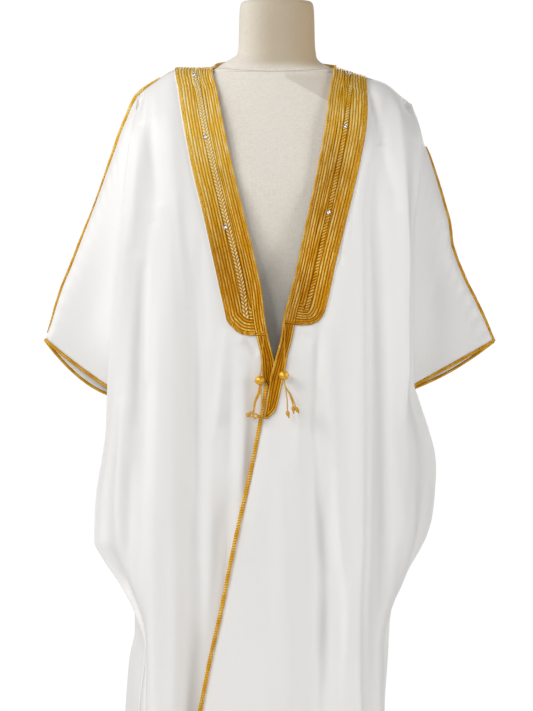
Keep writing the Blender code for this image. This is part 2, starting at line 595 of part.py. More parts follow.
def along_edge(grid, column, inward, off, start, stop, side_sign=1):
    """A path beside a sheet's edge column, off it in the sheet's own plane."""
    line = grid[column]
    beside = line - grid[inward]
    beside /= np.linalg.norm(beside, axis=1)[:, None]
    path = line + beside * off
    keep = (path[:, 2] < start) & (path[:, 2] > stop)
    return path[keep]


FLIP = {"band_right": False, "band_left": True, "tab_right": False, "tab_left": True}
# Bands and tabs: height, share of the strip that they cover.
BAND_RIGHT = ((1.5, 1.0), (1.0960, 1.0), (1.0850, 0.957), (1.0760, 0.86), (1.0684, 0.76),
              (1.0630, 0.62), (1.0605, 0.46))
BAND_LEFT = ((1.5, 1.0), (1.1134, 1.0), (1.1059, 0.978), (1.0933, 0.899), (1.0870, 0.80),
             (1.0820, 0.66), (1.0792, 0.46))
TAB_RIGHT = ((1.06, 0.300), (1.037, 0.297), (0.9957, 0.310), (0.9800, 0.24), (0.9680, 0.12))
TAB_LEFT = ((1.08, 0.300), (1.0332, 0.280), (1.0102, 0.300), (0.9833, 0.304), (0.9563, 0.286),
            (0.9396, 0.2545), (0.9330, 0.19), (0.9262, 0.10))
# Beads on strings: x and z of the string's top, x and z of the bead.
HANG_RIGHT = (-0.0196, 1.0600, -0.0245, 0.9880)
HANG_LEFT = (0.0156, 1.0780, 0.0142, 0.9960)
# Strands under each bead: x and z of the bend and of the knot, from the bead's middle.
STRANDS_RIGHT = ((-0.0100, -0.0360, -0.0190, -0.0600), (0.0025, -0.0360, 0.0010, -0.0640),
                 (-0.0050, -0.0380, -0.0080, -0.0585))
STRANDS_LEFT = ((0.0050, -0.0380, 0.0055, -0.0620), (0.0140, -0.0400, 0.0150, -0.0540),
                (0.0170, -0.0440, 0.0235, -0.0600))

for old in list(bpy.data.objects):
    bpy.data.objects.remove(old, do_unlink=True)
PARTS = bpy.data.collections.new("bisht_on_dress_form")
CUTTERS = bpy.data.collections.new("joined_in")
bpy.context.scene.collection.children.link(PARTS)
bpy.context.scene.collection.children.link(CUTTERS)
CUTTERS.hide_render = True

WHITE = material("white_cloth", (0.86, 0.86, 0.87), 0.55)
GOLD = material("gold_thread", (0.72, 0.45, 0.10), 0.35, 0.8)
LINEN = material("linen", (0.78, 0.73, 0.66), 0.8)
METAL = material("stand_metal", (0.32, 0.32, 0.34), 0.35, 0.9)

# The form, its neck, the pole and the base.
turn = np.arange(32) / 32 * 2 * np.pi


def oval(a, b, x, y, z, n, turn=turn):
    c = np.cos(turn)
    s = np.sin(turn)
    return np.stack([x + a * np.sign(c) * np.abs(c) ** (2 / n),
                     y + b * np.sign(s) * np.abs(s) ** (2 / n), z + 0 * turn], -1)


levels = np.concatenate([np.linspace(0.86, 1.36, 11), (1.385, 1.405, 1.421, 1.435, 1.447, 1.458, 1.468, 1.476,
                                                       1.483, 1.488, 1.4925, 1.496)])
rings = [oval(along(FORM, 1, z), along(FORM, 2, z), 0, along(FORM, 3, z), z, along(FORM, 4, z))
         for z in levels]
loft("form_torso", rings, LINEN)
turn_neck = np.arange(24) / 24 * 2 * np.pi
rings = [oval(a, b, NECK_X, y, z, 2.05, turn_neck) for z, a, b, y in NECK]
loft("form_neck", rings, LINEN)
turn_pole = np.arange(16) / 16 * 2 * np.pi
loft("stand_pole", [oval(POLE_R, POLE_R, 0, 0.004, z, 2, turn_pole)
                    for z in (BASE_T + 0.0004, FORM_BASE - 0.0004)], METAL)
turn_base = np.arange(28) / 28 * 2 * np.pi
loft("stand_base", [oval(BASE_R - s, BASE_R - s, 0, 0, z, 2, turn_base)
                    for z, s in ((0, 0.002), (0.003, 0), (BASE_T - 0.008, 0), (BASE_T - 0.002, 0.004),
                                 (BASE_T, 0.012))], METAL)

# Fronts and back.
keys_right = front(EDGE_RIGHT, MIDDLE_RIGHT, FOLDS_RIGHT, DRAPE_RIGHT, SIDE_RIGHT, FRONT_DROPS)
keys_left = front(EDGE_LEFT, MIDDLE_LEFT, FOLDS_LEFT, DRAPE_LEFT, SIDE_LEFT, FRONT_DROPS)
keys_left = over(keys_left, keys_right, 0.010, 0.016)
right = form_out(through(keys_right, FRONT_CUTS), CLEAR)
left = form_out(through(keys_left, FRONT_CUTS), CLEAR)
rear = form_out(through(back(BACK_DROPS), BACK_CUTS), CLEAR + 0.0014)
cloth("front_right", right, WHITE, False)
cloth("front_left", left, WHITE, True)
cloth("back", rear, WHITE, False)

# Sleeves.
arm_right = sleeve(TOP_RIGHT, SIDE_RIGHT, CUFF_RIGHT, 12)
arm_left = sleeve(TOP_LEFT, SIDE_LEFT, CUFF_LEFT, 12)
cloth("sleeve_right", arm_right.transpose(1, 0, 2), WHITE, True, ring=True)
cloth("sleeve_left", arm_left.transpose(1, 0, 2), WHITE, False, ring=True)

# Bands and tabs.
out_right = normals(right)
out_left = -normals(left)
band("band_right", right, out_right, BAND_RIGHT, right[0, 0, 2], 1.0605, RIBS, 5, GOLD)
band("band_left", left, out_left, BAND_LEFT, left[0, 0, 2], 1.0792, RIBS, 5, GOLD)
band("tab_right", right, out_right, TAB_RIGHT, 1.0601, 0.968, 3, 3, GOLD)
band("tab_left", left, out_left, TAB_LEFT, 1.0784, 0.9262, 3, 3, GOLD)

# Gold cords. Along the shoulder seam and down the top of each sleeve.
for name, sheet, arm, column, sign in (("shoulder_cord_right", right, arm_right, 4, -1),
                                       ("shoulder_cord_left", left, arm_left, 4, 1)):
    seam = sheet[column:-2, 0]
    run = np.gradient(seam, axis=0)
    up = np.stack([-run[:, 2] * sign, 0 * run[:, 0], run[:, 0] * sign], -1)
    up /= np.linalg.norm(up, axis=1)[:, None]
    seam = seam + up * (CORD + 0.0012) + np.array((0, 0.0010, 0))
    seam = seam[np.abs(seam[:, 0]) > abs(sheet[4, 0, 0]) + 0.003]
    corner = arm[0, 0] + np.array((sign * 0.62, 0.0, 0.78)) * (CORD + 0.0014)
    top = arm[1:, 0]
    way = np.gradient(arm[:, 0], axis=0)[1:]
    way /= np.linalg.norm(way, axis=1)[:, None]
    out = np.stack([-way[:, 2] * sign, 0 * way[:, 0], way[:, 0] * sign], -1)
    out /= np.linalg.norm(out, axis=1)[:, None]
    top = top + out * (CORD + 0.0004)
    top[-1] -= way[-1] * 0.004
    # On the left shoulder the cord comes out of the seam lower down.
    half = (top[:1] + top[1:2]) / 2
    way = np.concatenate([half, top[1:]] if sign > 0 else [seam[:-1], corner[None], top])
    tube(name, way, CORD, 6, GOLD)

# Round the back of the neck.
row = rear[:, 0]
keep = (row[:, 0] > right[0, 0, 0] + 0.004) & (row[:, 0] < left[0, 0, 0] - 0.004)
path = row[keep] + np.array((0, 0, CORD + 0.0008))
tube("neck_cord", spaced(path, 17), CORD, 6, GOLD)

# Down the edges of the fronts below the tabs.
path = along_edge(left, 0, 1, EDGE_CORD + 0.0003, 0.984, 0, 1)
tube("edge_cord_left", path, EDGE_CORD, 6, GOLD)
path = along_edge(right, 0, 1, CORD + 0.0001, 0.960, 0, 1)
tube("edge_cord_right", path, CORD, 5, GOLD)

# Round the cuffs.
for name, arm in (("cuff_cord_right", arm_right), ("cuff_cord_left", arm_left)):
    way = arm[-1] - arm[-2]
    way /= np.linalg.norm(way, axis=1)[:, None]
    path = arm[-1] + way * (CUFF_CORD + 0.0007)
    tube(name, path, CUFF_CORD, 6, GOLD, closed=True)

# Beads on their strings, with knotted strands joined in under each bead.
for name, sheet, hang, strands in (("right", right, HANG_RIGHT, STRANDS_RIGHT),
                                   ("left", left, HANG_LEFT, STRANDS_LEFT)):
    x0, z0, x1, z1 = hang
    y0 = at_height(sheet, x0, z0)[0] - (LIFT + BAND + RIDGE) - 0.0008
    y1 = at_height(sheet, x1, z1)[0] - (LIFT + BAND + RIDGE) - BEAD - 0.0010
    t = np.linspace(0, 1, 7)
    path = np.stack([x0 + (x1 - x0) * t ** 2, y0 + (y1 - y0) * t, z0 + (z1 + BEAD * 0.935 + 0.0005 - z0) * t], -1)
    tube("string_" + name, path, 0.0012, 6, GOLD)
    lat = np.linspace(-1, 1, 9) * np.pi / 2 * 0.93
    turn_bead = np.arange(12) / 12 * 2 * np.pi
    bead = loft("bead_" + name, [oval(BEAD * np.cos(a), BEAD * np.cos(a), x1, y1, z1 + 0.94 * BEAD * np.sin(a), 2,
                                      turn_bead) for a in lat], GOLD)
    for k, (bx, bz, kx, kz) in enumerate(strands):
        far = -0.008 - 0.001 * k
        way = np.array(((0.15 * bx, 0, -0.0060), (0.6 * bx, 0.4 * far, -0.018), (bx, far, bz),
                        (kx, far, kz + 0.0050), (kx, far, kz), (kx + 0.0006, far, kz - 0.0060)))
        thick = (0.0010, 0.0010, 0.0010, 0.0014, 0.0030, 0.0012)
        strand = tube(f"strand_{name}_{k}", way + np.array((x1, y1, z1)), thick, 4, GOLD)
        PARTS.objects.unlink(strand)
        CUTTERS.objects.link(strand)
        strand.hide_render = True
        strand.display_type = "WIRE"
        join = bead.modifiers.new(f"strand_{k}", "BOOLEAN")
        join.operation = "UNION"
        join.solver = "EXACT"
        join.object = strand
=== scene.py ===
# %% [markdown]
# # A white cloak with gold bands on a linen dress form
# An open-front cloak (bisht, also called abaya) hangs on a limbless dress form with a neck.
# The solids are loaded first. Each piece of the looks is then worked out from the same sizes and
# tables, finer, and stands for its solid.

# %% Load the solids
import json
import bpy
import numpy as np
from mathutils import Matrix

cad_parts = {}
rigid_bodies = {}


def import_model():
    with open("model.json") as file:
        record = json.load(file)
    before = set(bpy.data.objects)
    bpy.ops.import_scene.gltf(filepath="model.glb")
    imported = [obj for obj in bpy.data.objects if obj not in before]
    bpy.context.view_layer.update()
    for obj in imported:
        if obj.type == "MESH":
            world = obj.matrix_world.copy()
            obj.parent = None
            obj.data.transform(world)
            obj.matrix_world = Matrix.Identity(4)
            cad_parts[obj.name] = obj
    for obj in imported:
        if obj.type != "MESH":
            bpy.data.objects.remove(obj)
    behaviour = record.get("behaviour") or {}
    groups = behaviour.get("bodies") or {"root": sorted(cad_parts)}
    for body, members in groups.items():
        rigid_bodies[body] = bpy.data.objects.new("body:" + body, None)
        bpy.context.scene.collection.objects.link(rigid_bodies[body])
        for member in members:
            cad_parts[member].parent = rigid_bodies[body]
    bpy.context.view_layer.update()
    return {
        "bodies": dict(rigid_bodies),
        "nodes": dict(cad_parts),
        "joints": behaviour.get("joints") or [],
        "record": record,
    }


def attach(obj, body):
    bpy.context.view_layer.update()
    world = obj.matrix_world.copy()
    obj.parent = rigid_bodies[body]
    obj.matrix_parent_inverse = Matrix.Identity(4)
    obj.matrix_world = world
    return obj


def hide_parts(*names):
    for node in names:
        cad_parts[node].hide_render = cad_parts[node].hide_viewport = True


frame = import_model()

# %% [markdown]
# ## Sizes and tables
# The same sizes and tables as in the solids, in metres: the photo gave the outlines, and a neck
# 124 mm wide gave the scale. A table of sections is how a pattern cutter notes a hanging
# garment too: widths at stated heights.

# %% Sizes that the pieces share
SEAM = 0.0004  # room left at a seam, and between a trim and the cloth under it
CLEAR = 0.0028  # outer face of the cloth over the form: the wall and a little air
HEM = 0.08  # height of the hem over the floor
ROLL = 0.13  # drop over which the cloth turns from the shoulder seam to hang
CORD = 0.0024  # radius of the gold cord along the shoulder and the sleeve
EDGE_CORD = 0.0034  # radius of the cord down the left front's edge
CUFF_CORD = 0.0022  # radius of the cord round each cuff
RIDGE = 0.0013  # height of the ribs on the bands
LIFT = 0.0013  # room between a band and the cloth under it
BAND = 0.0009  # thickness of the bands between the ribs
BEAD = 0.0083  # radius of a bead
FORM_BASE = 0.86  # underside of the torso
POLE_R = 0.014  # radius of the pole
BASE_R = 0.17  # radius of the round base
BASE_T = 0.024  # thickness of the round base
NECK_TOP = 1.611  # height of the neck's top over the floor
print("hem at", HEM, "m, neck's top at", NECK_TOP, "m")

# %% [markdown]
# A dress form is shaped by sections: an oval at each height. An exponent over 2 makes an oval
# squarer, as a chest is. A sculpted mesh would be closer to a body, but needs more than these
# rows.

# %% Sections of the form and its neck
# The form: height, half width, half depth, middle's y, exponent of the oval.
FORM = (
    (0.86, 0.16, 0.104, 0.004, 2.3),
    (0.93, 0.16, 0.106, 0.004, 2.3),
    (1.03, 0.137, 0.095, 0.002, 2.3),
    (1.13, 0.148, 0.103, -0.002, 2.4),
    (1.23, 0.165, 0.116, -0.006, 2.5),
    (1.3, 0.176, 0.119, -0.006, 2.5),
    (1.36, 0.19, 0.112, -0.002, 2.4),
    (1.405, 0.199, 0.101, 0.002, 2.3),
    (1.435, 0.196, 0.089, 0.004, 2.2),
    (1.458, 0.181, 0.078, 0.006, 2.1),
    (1.476, 0.156, 0.07, 0.007, 2.0),
    (1.488, 0.126, 0.066, 0.007, 2.0),
    (1.496, 0.101, 0.065, 0.007, 2.0),
)
# The neck: height, half width, half depth, middle's y.
NECK = (
    (1.4965, 0.095, 0.065, 0.006),
    (1.5, 0.084, 0.0645, 0.006),
    (1.5055, 0.0725, 0.0636, 0.006),
    (1.511, 0.068, 0.0628, 0.006),
    (1.522, 0.0648, 0.0615, 0.005),
    (1.54, 0.0628, 0.06, 0.004),
    (1.585, 0.0616, 0.059, 0.0),
    (1.603, 0.06, 0.0572, -0.001),
    (1.6095, 0.055, 0.0522, -0.001),
    (NECK_TOP, 0.047, 0.0445, -0.001),
)
NECK_X = 0.003  # the neck stands this far to the wearer's left
print("form:", len(FORM), "sections, neck:", len(NECK))

# %% [markdown]
# The two fronts open in a V and cross below it, the left one on top. The strip along each edge
# carries the band, so both its borders are noted by height.

# %% Edges of the fronts
# Height, x of the inner edge, x of the band's outer edge.
EDGE_RIGHT = (
    (1.4987, -0.1017, -0.1635), (1.4164, -0.0869, -0.1509), (1.3316, -0.0685, -0.1348),
    (1.2561, -0.0502, -0.1165), (1.1828, -0.0321, -0.1001), (1.1329, -0.0218, -0.0892),
    (1.0954, -0.0174, -0.081), (1.06, -0.0114, -0.0755), (1.0185, -0.001, -0.0717),
    (0.9556, 0.0049, -0.0717), (0.75, 0.01, -0.0766), (0.55, 0.014, -0.0815), (HEM, 0.022, -0.0864),
)
EDGE_LEFT = (
    (1.4964, 0.0927, 0.1488), (1.4506, 0.0882, 0.1522), (1.4048, 0.0825, 0.1491), (1.343, 0.0711, 0.1386),
    (1.286, 0.0595, 0.1255), (1.2327, 0.0479, 0.1123), (1.1766, 0.0363, 0.0983), (1.1349, 0.0261, 0.0897),
    (1.0914, 0.0147, 0.0799), (1.056, 0.0095, 0.0734), (1.0164, -0.001, 0.0652), (0.9833, -0.0093, 0.0587),
    (0.9458, -0.0155, 0.0505), (0.9067, -0.0228, 0.045), (0.8676, -0.0303, 0.0538),
    (0.8007, -0.0448, 0.069), (0.7551, -0.0553, 0.074), (0.6964, -0.0676, 0.079), (0.6133, -0.0843, 0.079),
    (0.5391, -0.1011, 0.075), (0.465, -0.1156, 0.074), (HEM, -0.199, 0.07),
)
# Where the middle line of that strip lies, as a share of its width.
MIDDLE_RIGHT = ((1.5, 0.5), (1.0, 0.5), (HEM, 0.5))
MIDDLE_LEFT = ((1.5, 0.5), (1.02, 0.5), (0.905, 0.53), (0.8, 0.55), (0.6964, 0.63),
               (0.5391, 0.72), (HEM, 0.8))
# The strip's five lines: share of its width, and how far each stands before (-) or behind (+)
# the front where it hangs low.
STRIP_RIGHT = ((0, 0.0), (0.25, -0.002), (0.5, 0.003), (0.75, -0.003), (1, 0.006))
STRIP_LEFT = ((0, 0.0), (0.25, -0.002), (0.5, -0.011), (0.75, -0.003), (1, 0.006))
print("edges:", len(EDGE_RIGHT), "rows right,", len(EDGE_LEFT), "rows left")

# %% [markdown]
# The spare width of a hung cloak falls in long folds with crests and valleys. They could be
# pulled out of a mesh by hand. As rows of numbers, the solids and this finer cloth share them.

# %% Folds of the fronts
# From the band outwards. LEVELS are heights; each row is one line: its x at every level, then how
# far it stands before (-) or behind (+) the front at every level, in mm.
LEVELS = (1.45, 1.25, 1.0, 0.75, 0.55, HEM)
FOLDS_RIGHT = (
    ("slope", -0.1695, -0.1288, -0.088, -0.098, -0.102, -0.11, 0, 0, 3, 6, 6, 2),
    ("valley", -0.178, -0.145, -0.1215, -0.1225, -0.124, -0.133, 0, 1, 8, 9, 8, 5),
    ("crest", -0.187, -0.168, -0.168, -0.17, -0.17, -0.179, 2, -1, -9, -11, -10, -8),
    ("bend", -0.1955, -0.184, -0.189, -0.195, -0.194, -0.203, 4, 4, -6, -7, -6, -8),
    ("step", -0.2035, -0.199, -0.206, -0.213, -0.205, -0.214, 8, 12, 12, 12, 8, 10),
    ("side", -0.211, -0.221, -0.241, -0.254, -0.208, -0.219, 12, 17, 20, 36, 42, 50),
)
FOLDS_LEFT = (
    ("slope", 0.16, 0.125, 0.0897, 0.104, 0.1043, 0.12, 0, -1, -6, -2, -3, -3),
    ("bend", 0.169, 0.132, 0.1335, 0.131, 0.125, 0.146, 2, -3, -9, -11, -11, -10),
    ("crest", 0.176, 0.141, 0.1425, 0.1405, 0.1345, 0.1555, 5, -3, -11, -14, -14, -13),
    ("step", 0.185, 0.154, 0.156, 0.154, 0.147, 0.167, 8, 9, 10, 13, 14, 14),
    ("slope", 0.195, 0.184, 0.1842, 0.206, 0.168, 0.183, 8, 8, 6, 7, 24, 28),
    ("ridge", 0.204, 0.204, 0.206, 0.226, 0.176, 0.188, 12, 4, 2, 30, 44, 50),
)
print("fold lines:", len(FOLDS_RIGHT), "right,", len(FOLDS_LEFT), "left")

# %% [markdown]
# At the side the cloth turns to the back. It has the armhole there, and a pouch at hip height.
# Outline and seam are two lines, noted by height.

# %% Outlines and seams at the sides
# Outline of the fronts at the side: height, x, y.
DRAPE_RIGHT = (
    (1.4544, -0.22, -0.001), (1.4006, -0.2341, -0.062), (1.3549, -0.2398, -0.086), (1.3028, -0.2453, -0.1),
    (1.2425, -0.251, -0.108), (1.187, -0.2566, -0.11), (1.13, -0.2621, -0.11), (1.0746, -0.2658, -0.109),
    (1.0183, -0.2696, -0.106), (0.9719, -0.2727, -0.1), (0.9051, -0.2756, -0.084), (0.8513, -0.284, -0.066),
    (0.8007, -0.2923, -0.052), (0.7551, -0.2952, -0.046), (0.7258, -0.296, -0.044), (0.7, -0.284, -0.044),
    (0.6597, -0.2569, -0.047), (0.6312, -0.2403, -0.052), (0.61, -0.2298, -0.056), (0.5888, -0.2217, -0.06),
    (0.5481, -0.211, -0.062), (0.45, -0.215, -0.062), (HEM, -0.224, -0.066),
)
DRAPE_LEFT = (
    (1.44, 0.2185, -0.001), (1.412, 0.233, -0.04), (1.3778, 0.2395, -0.07), (1.3, 0.2335, -0.098),
    (1.2327, 0.226, -0.108), (1.17, 0.2249, -0.111), (1.1, 0.2249, -0.112), (1.04, 0.2252, -0.11),
    (0.9833, 0.2257, -0.104), (0.96, 0.2325, -0.098), (0.9377, 0.2399, -0.09), (0.9002, 0.2525, -0.076),
    (0.8676, 0.2608, -0.064), (0.8431, 0.2629, -0.058), (0.8007, 0.2608, -0.052), (0.7632, 0.2566, -0.048),
    (0.7339, 0.2482, -0.046), (0.7054, 0.2337, -0.047), (0.6801, 0.2192, -0.05), (0.6426, 0.2026, -0.056),
    (0.6182, 0.19, -0.06), (0.5302, 0.1839, -0.062), (0.4487, 0.179, -0.062), (HEM, 0.19, -0.066),
)
# The armhole, and below it the side seam: height, x, y of the front's edge, y of the back's.
SIDE_RIGHT = (
    (1.4544, -0.227, -0.0004, 0.0004), (1.43, -0.2275, -0.032, 0.034), (1.38, -0.2265, -0.056, 0.058),
    (1.3, -0.226, -0.072, 0.066), (1.2, -0.2265, -0.077, 0.069), (1.1, -0.228, -0.069, 0.065),
    (1.03, -0.228, -0.05, 0.048), (0.985, -0.226, -0.026, 0.026),
) + tuple((z, x, -0.0006, 0.0006) for z, x in (
    (0.96, -0.227), (0.9, -0.238), (0.82, -0.254), (0.73, -0.265), (0.66, -0.24),
    (0.6, -0.215), (0.54, -0.213), (0.45, -0.222), (HEM, -0.236)))
SIDE_LEFT = (
    (1.44, 0.225, -0.0004, 0.0004), (1.415, 0.226, -0.03, 0.032), (1.37, 0.219, -0.054, 0.056),
    (1.3, 0.207, -0.072, 0.066), (1.2, 0.1995, -0.077, 0.069), (1.1, 0.199, -0.071, 0.065),
    (1.03, 0.2, -0.052, 0.048), (0.985, 0.201, -0.027, 0.026),
) + tuple((z, x, -0.0006, 0.0006) for z, x in (
    (0.96, 0.202), (0.9, 0.22), (0.83, 0.233), (0.76, 0.228), (0.69, 0.203),
    (0.62, 0.179), (0.53, 0.175), (HEM, 0.186)))
# Three lines turn each front round the side: x and y beside the outline, and x at the shoulder.
TURN_FRONT = ((-0.01, -0.008, -0.0035), (0, 0, 0.0), (-0.006, 0.016, 0.0032))
# Three lines do so for the back: x beside the outline, y, and x at the shoulder.
TURN_BACK = ((-0.006, 0.09, 0.0032), (0, 0.104, 0.0), (-0.012, 0.114, -0.0035))
print("side seams:", len(SIDE_RIGHT), "rows right,", len(SIDE_LEFT), "rows left")

# %% [markdown]
# A sleeve is the upper corner of the wide cloth, open at its end for the hand. Its top line comes
# down from the shoulder to the tip, and its cuff hangs from the tip.

# %% Top lines of the sleeves, and the cuffs
# Top line of each sleeve, from the shoulder to the tip: x, y, z.
TOP_RIGHT = (
    (-0.2275, 0.0, 1.454), (-0.24, 0.0, 1.4229), (-0.2525, 0.0, 1.3931), (-0.262, 0.0, 1.365),
    (-0.276, 0.0, 1.327), (-0.2965, 0.0, 1.271), (-0.3165, 0.0, 1.22), (-0.333, 0.0, 1.177),
    (-0.348, 0.0, 1.142), (-0.358, 0.0, 1.112), (-0.369, 0.0, 1.075), (-0.376, 0.0, 1.056),
)
TOP_LEFT = (
    (0.2255, 0.004, 1.439), (0.236, 0.006, 1.407), (0.243, 0.006, 1.3778), (0.2525, 0.006, 1.3554),
    (0.264, 0.004, 1.3181), (0.275, 0.002, 1.2808), (0.2843, 0.0, 1.2474), (0.2885, 0.0, 1.2099),
    (0.2975, 0.0, 1.1838), (0.312, 0.0, 1.1496), (0.3275, 0.0, 1.1202), (0.342, 0.0, 1.0901),
    (0.3525, 0.0, 1.0658), (0.3574, 0.0, 1.0534),
)
# Low end of each cuff, and how far the cuff's front and back edges sag under a straight line.
CUFF_RIGHT = (-0.244, 0.96, 0.004, 0.021)
CUFF_LEFT = (0.208, 0.97, 0.0, 0.009)
print("sleeve tips at x", TOP_RIGHT[-1][0], "and", TOP_LEFT[-1][0])

# %% [markdown]
# From the side, the cloak hangs a little off the form. The back is one wide piece whose folds
# start small under the shoulder blades and deepen to the hem.

# %% Hang of the cloth and folds of the back
# Height, y of the front, y of the back.
HANG = (
    (1.5, -0.07, 0.085), (1.45, -0.094, 0.104), (1.4, -0.108, 0.12), (1.35, -0.119, 0.131),
    (1.3, -0.129, 0.136), (1.25, -0.135, 0.138), (1.15, -0.141, 0.14), (1.0, -0.146, 0.143),
    (0.75, -0.15, 0.148), (0.55, -0.153, 0.152), (HEM, -0.16, 0.16),
)
# Outline of the back at each side: height, x of the right, x of the left.
BACK_SIDE = (
    (1.4544, -0.2215, 0.22), (1.41, -0.233, 0.23), (1.35, -0.24, 0.233), (1.25, -0.247, 0.226),
    (1.1, -0.256, 0.224), (0.97, -0.264, 0.225), (0.85, -0.27, 0.245), (0.75, -0.272, 0.243),
    (0.68, -0.252, 0.218), (0.62, -0.232, 0.19), (0.573, -0.2319, 0.183), (0.53, -0.2403, 0.18),
    (0.449, -0.247, 0.178), (HEM, -0.266, 0.186),
)
# The back's folds: share of the way across at the top and at the hem, depth at the shoulder
# blades, at the waist and at the hem, in mm, + away from the wearer.
BACK_FOLDS = (
    ("step", 0.045, 0.05, -10, -12, -12), ("ridge", 0.13, 0.13, 2, 10, 15),
    ("valley", 0.22, 0.23, 0, -9, -13), ("ridge", 0.31, 0.33, 2, 9, 16), ("valley", 0.4, 0.41, 0, -8, -14),
    ("ridge", 0.48, 0.5, 2, 7, 13), ("valley", 0.57, 0.58, 0, -9, -15), ("ridge", 0.67, 0.66, 2, 11, 17),
    ("valley", 0.77, 0.76, 0, -8, -14), ("ridge", 0.87, 0.87, 2, 10, 14),
    ("step", 0.955, 0.95, -10, -12, -12),
)
# How fast each shoulder falls away from the neck.
SLOPE_RIGHT = 2.6
SLOPE_LEFT = 1.65
NECK_BACK = (0.022, 0.078)  # rise and depth of the neckline behind the neck
print("back:", len(BACK_FOLDS), "fold lines")

# %% [markdown]
# ## Lines through the tables
# A sheet is a stack of lines from shoulder to hem, each read smoothly from its columns, and then
# lines through those lines. Blender's own curves could carry such lines, but a formula gives the
# same points each time and doesn't swing past a table's values.

# %% Smooth lines
def between(a, b, slope_a, slope_b, step, t):
    """A cubic from a to b with these slopes at its ends, t going from 0 to 1 over the step."""
    return (a * (1 + 2 * t) * (1 - t) ** 2 + slope_a * step * t * (1 - t) ** 2
            + b * t * t * (3 - 2 * t) + slope_b * step * t * t * (t - 1))


def along(table, column, at):
    """Smooth line without overshoot through one column of a table whose first column runs one way."""
    rows = np.array(table, float)
    rows = rows[np.argsort(rows[:, 0])]
    x = rows[:, 0]
    y = rows[:, column]
    step = np.diff(x)
    slope = np.diff(y) / step
    tangent = np.zeros(len(x))
    tangent[0] = slope[0]
    tangent[-1] = slope[-1]
    same = slope[:-1] * slope[1:] > 0
    low = 2 * step[1:] + step[:-1]
    high = step[1:] + 2 * step[:-1]
    safe = np.where(same, slope[:-1], 1.0)
    safe_next = np.where(same, slope[1:], 1.0)
    tangent[1:-1] = np.where(same, (low + high) / (low / safe + high / safe_next), 0.0)
    at = np.clip(np.asarray(at, float), x[0], x[-1])
    i = np.clip(np.searchsorted(x, at, side="right") - 1, 0, len(x) - 2)
    return between(y[i], y[i + 1], tangent[i], tangent[i + 1], step[i], (at - x[i]) / step[i])


def through(keys, cuts):
    """Lines through key lines (key, row, xyz), with this many steps after each key."""
    keys = np.asarray(keys)
    n = len(keys)
    gap = np.linalg.norm(np.diff(keys, axis=0), axis=-1)[..., None] + 1e-6
    slope = np.diff(keys, axis=0) / gap
    tangent = np.empty_like(keys)
    tangent[1:-1] = (slope[:-1] * gap[1:] + slope[1:] * gap[:-1]) / (gap[1:] + gap[:-1])
    tangent[0] = slope[0]
    tangent[-1] = slope[-1]
    out = []
    for i in range(n - 1):
        for j in range(cuts[i]):
            out.append(between(keys[i], keys[i + 1], tangent[i], tangent[i + 1], gap[i], j / cuts[i]))
    out.append(keys[-1])
    return np.stack(out)


def unit(arrows):
    """Arrows of length 1, the same ways."""
    return arrows / np.linalg.norm(arrows, axis=-1, keepdims=True)


def run_of(path):
    """How far along a path each of its points is."""
    return np.concatenate([[0], np.cumsum(np.linalg.norm(np.diff(path, axis=0), axis=1))])


def row_at(sheet, heights):
    """Rows of a sheet, counted in parts too, at these heights of its first edge."""
    edge_z = sheet[0, :, 2]
    return np.interp(-heights, -edge_z, np.arange(len(edge_z)))


print("right edge at 1.2 m: x", float(along(EDGE_RIGHT, 1, 1.2)))

# %% [markdown]
# Cloth lies on the form and never in it. The form's surface is where a formula of x, y and z is
# nought, so a point too near it is moved out along the formula's slope. A shrinkwrap modifier
# does the same to a mesh, but these points aren't a mesh yet.

# %% Clear of the form
NUDGE = 1e-4  # distance at which the formula's slope is taken
FURTHEST = 0.004  # a point moves no further than this in one go


def beyond_form(points):
    """Under 0 in the form, 0 on its surface: (|x / a|^n + |y / b|^n)^(1 / n) - 1, more over its top."""
    z = points[..., 2]
    n = along(FORM, 4, z)
    across = np.abs(points[..., 0] / along(FORM, 1, z)) ** n
    deep = np.abs((points[..., 1] - along(FORM, 3, z)) / along(FORM, 2, z)) ** n
    return np.maximum(across + deep, 1e-9) ** (1 / n) - 1 + np.maximum(z - FORM[-1][0], 0) * 12


def form_out(points, clear):
    """Points moved out of the form, to this far from its surface, in eight goes."""
    points = points.copy()
    for _ in range(8):
        value = beyond_form(points)
        grad = np.zeros_like(points)
        for axis in range(3):
            moved = points.copy()
            moved[..., axis] += NUDGE
            grad[..., axis] = (beyond_form(moved) - value) / NUDGE
        size = np.maximum(np.linalg.norm(grad, axis=-1), 1e-6)
        lack = np.maximum(clear - value / size, 0)
        points += grad / size[..., None] * np.minimum(lack, FURTHEST)[..., None]
    return points


chest = form_out(np.array([[0.02, -0.1, 1.2]]), CLEAR)[0]
print("a point at the chest is moved out to y", round(float(chest[1]), 4))

# %% [markdown]
# A front starts at the shoulder seam, rolls over the shoulder and hangs. Its lines are five in
# the strip under the band, one for each fold, three that turn round the side, and the seam.

# %% A front's lines
LEAVE = 0.03  # drop over which a line moves from its place at the seam to its own
LOW_STRIP = (1.0, 0.25)  # the strip's lines start to stand off at this height, fully this far below
LOW_SIDE = (0.97, 0.2)  # the same for the lines that turn round the side


def rolled(drop):
    """How far round from the seam to hanging the cloth is, 0 to 1, after this drop."""
    d = np.clip(drop / ROLL, 0, 1)
    return np.sqrt(1 - (1 - d) ** 2)


def below(z, start, reach):
    """0 above a height, 1 from this far below it, straight between."""
    return np.clip((start - z) / reach, 0, 1)


def seam_z(x, edge, side, slope):
    """Height of the shoulder seam at x: it falls as a power of the share of the way to its end."""
    share = np.clip((abs(x) - abs(edge[0][1])) / (abs(side[0][1]) - abs(edge[0][1])), 0, 1)
    return edge[0][0] - (edge[0][0] - side[0][0]) * share ** slope


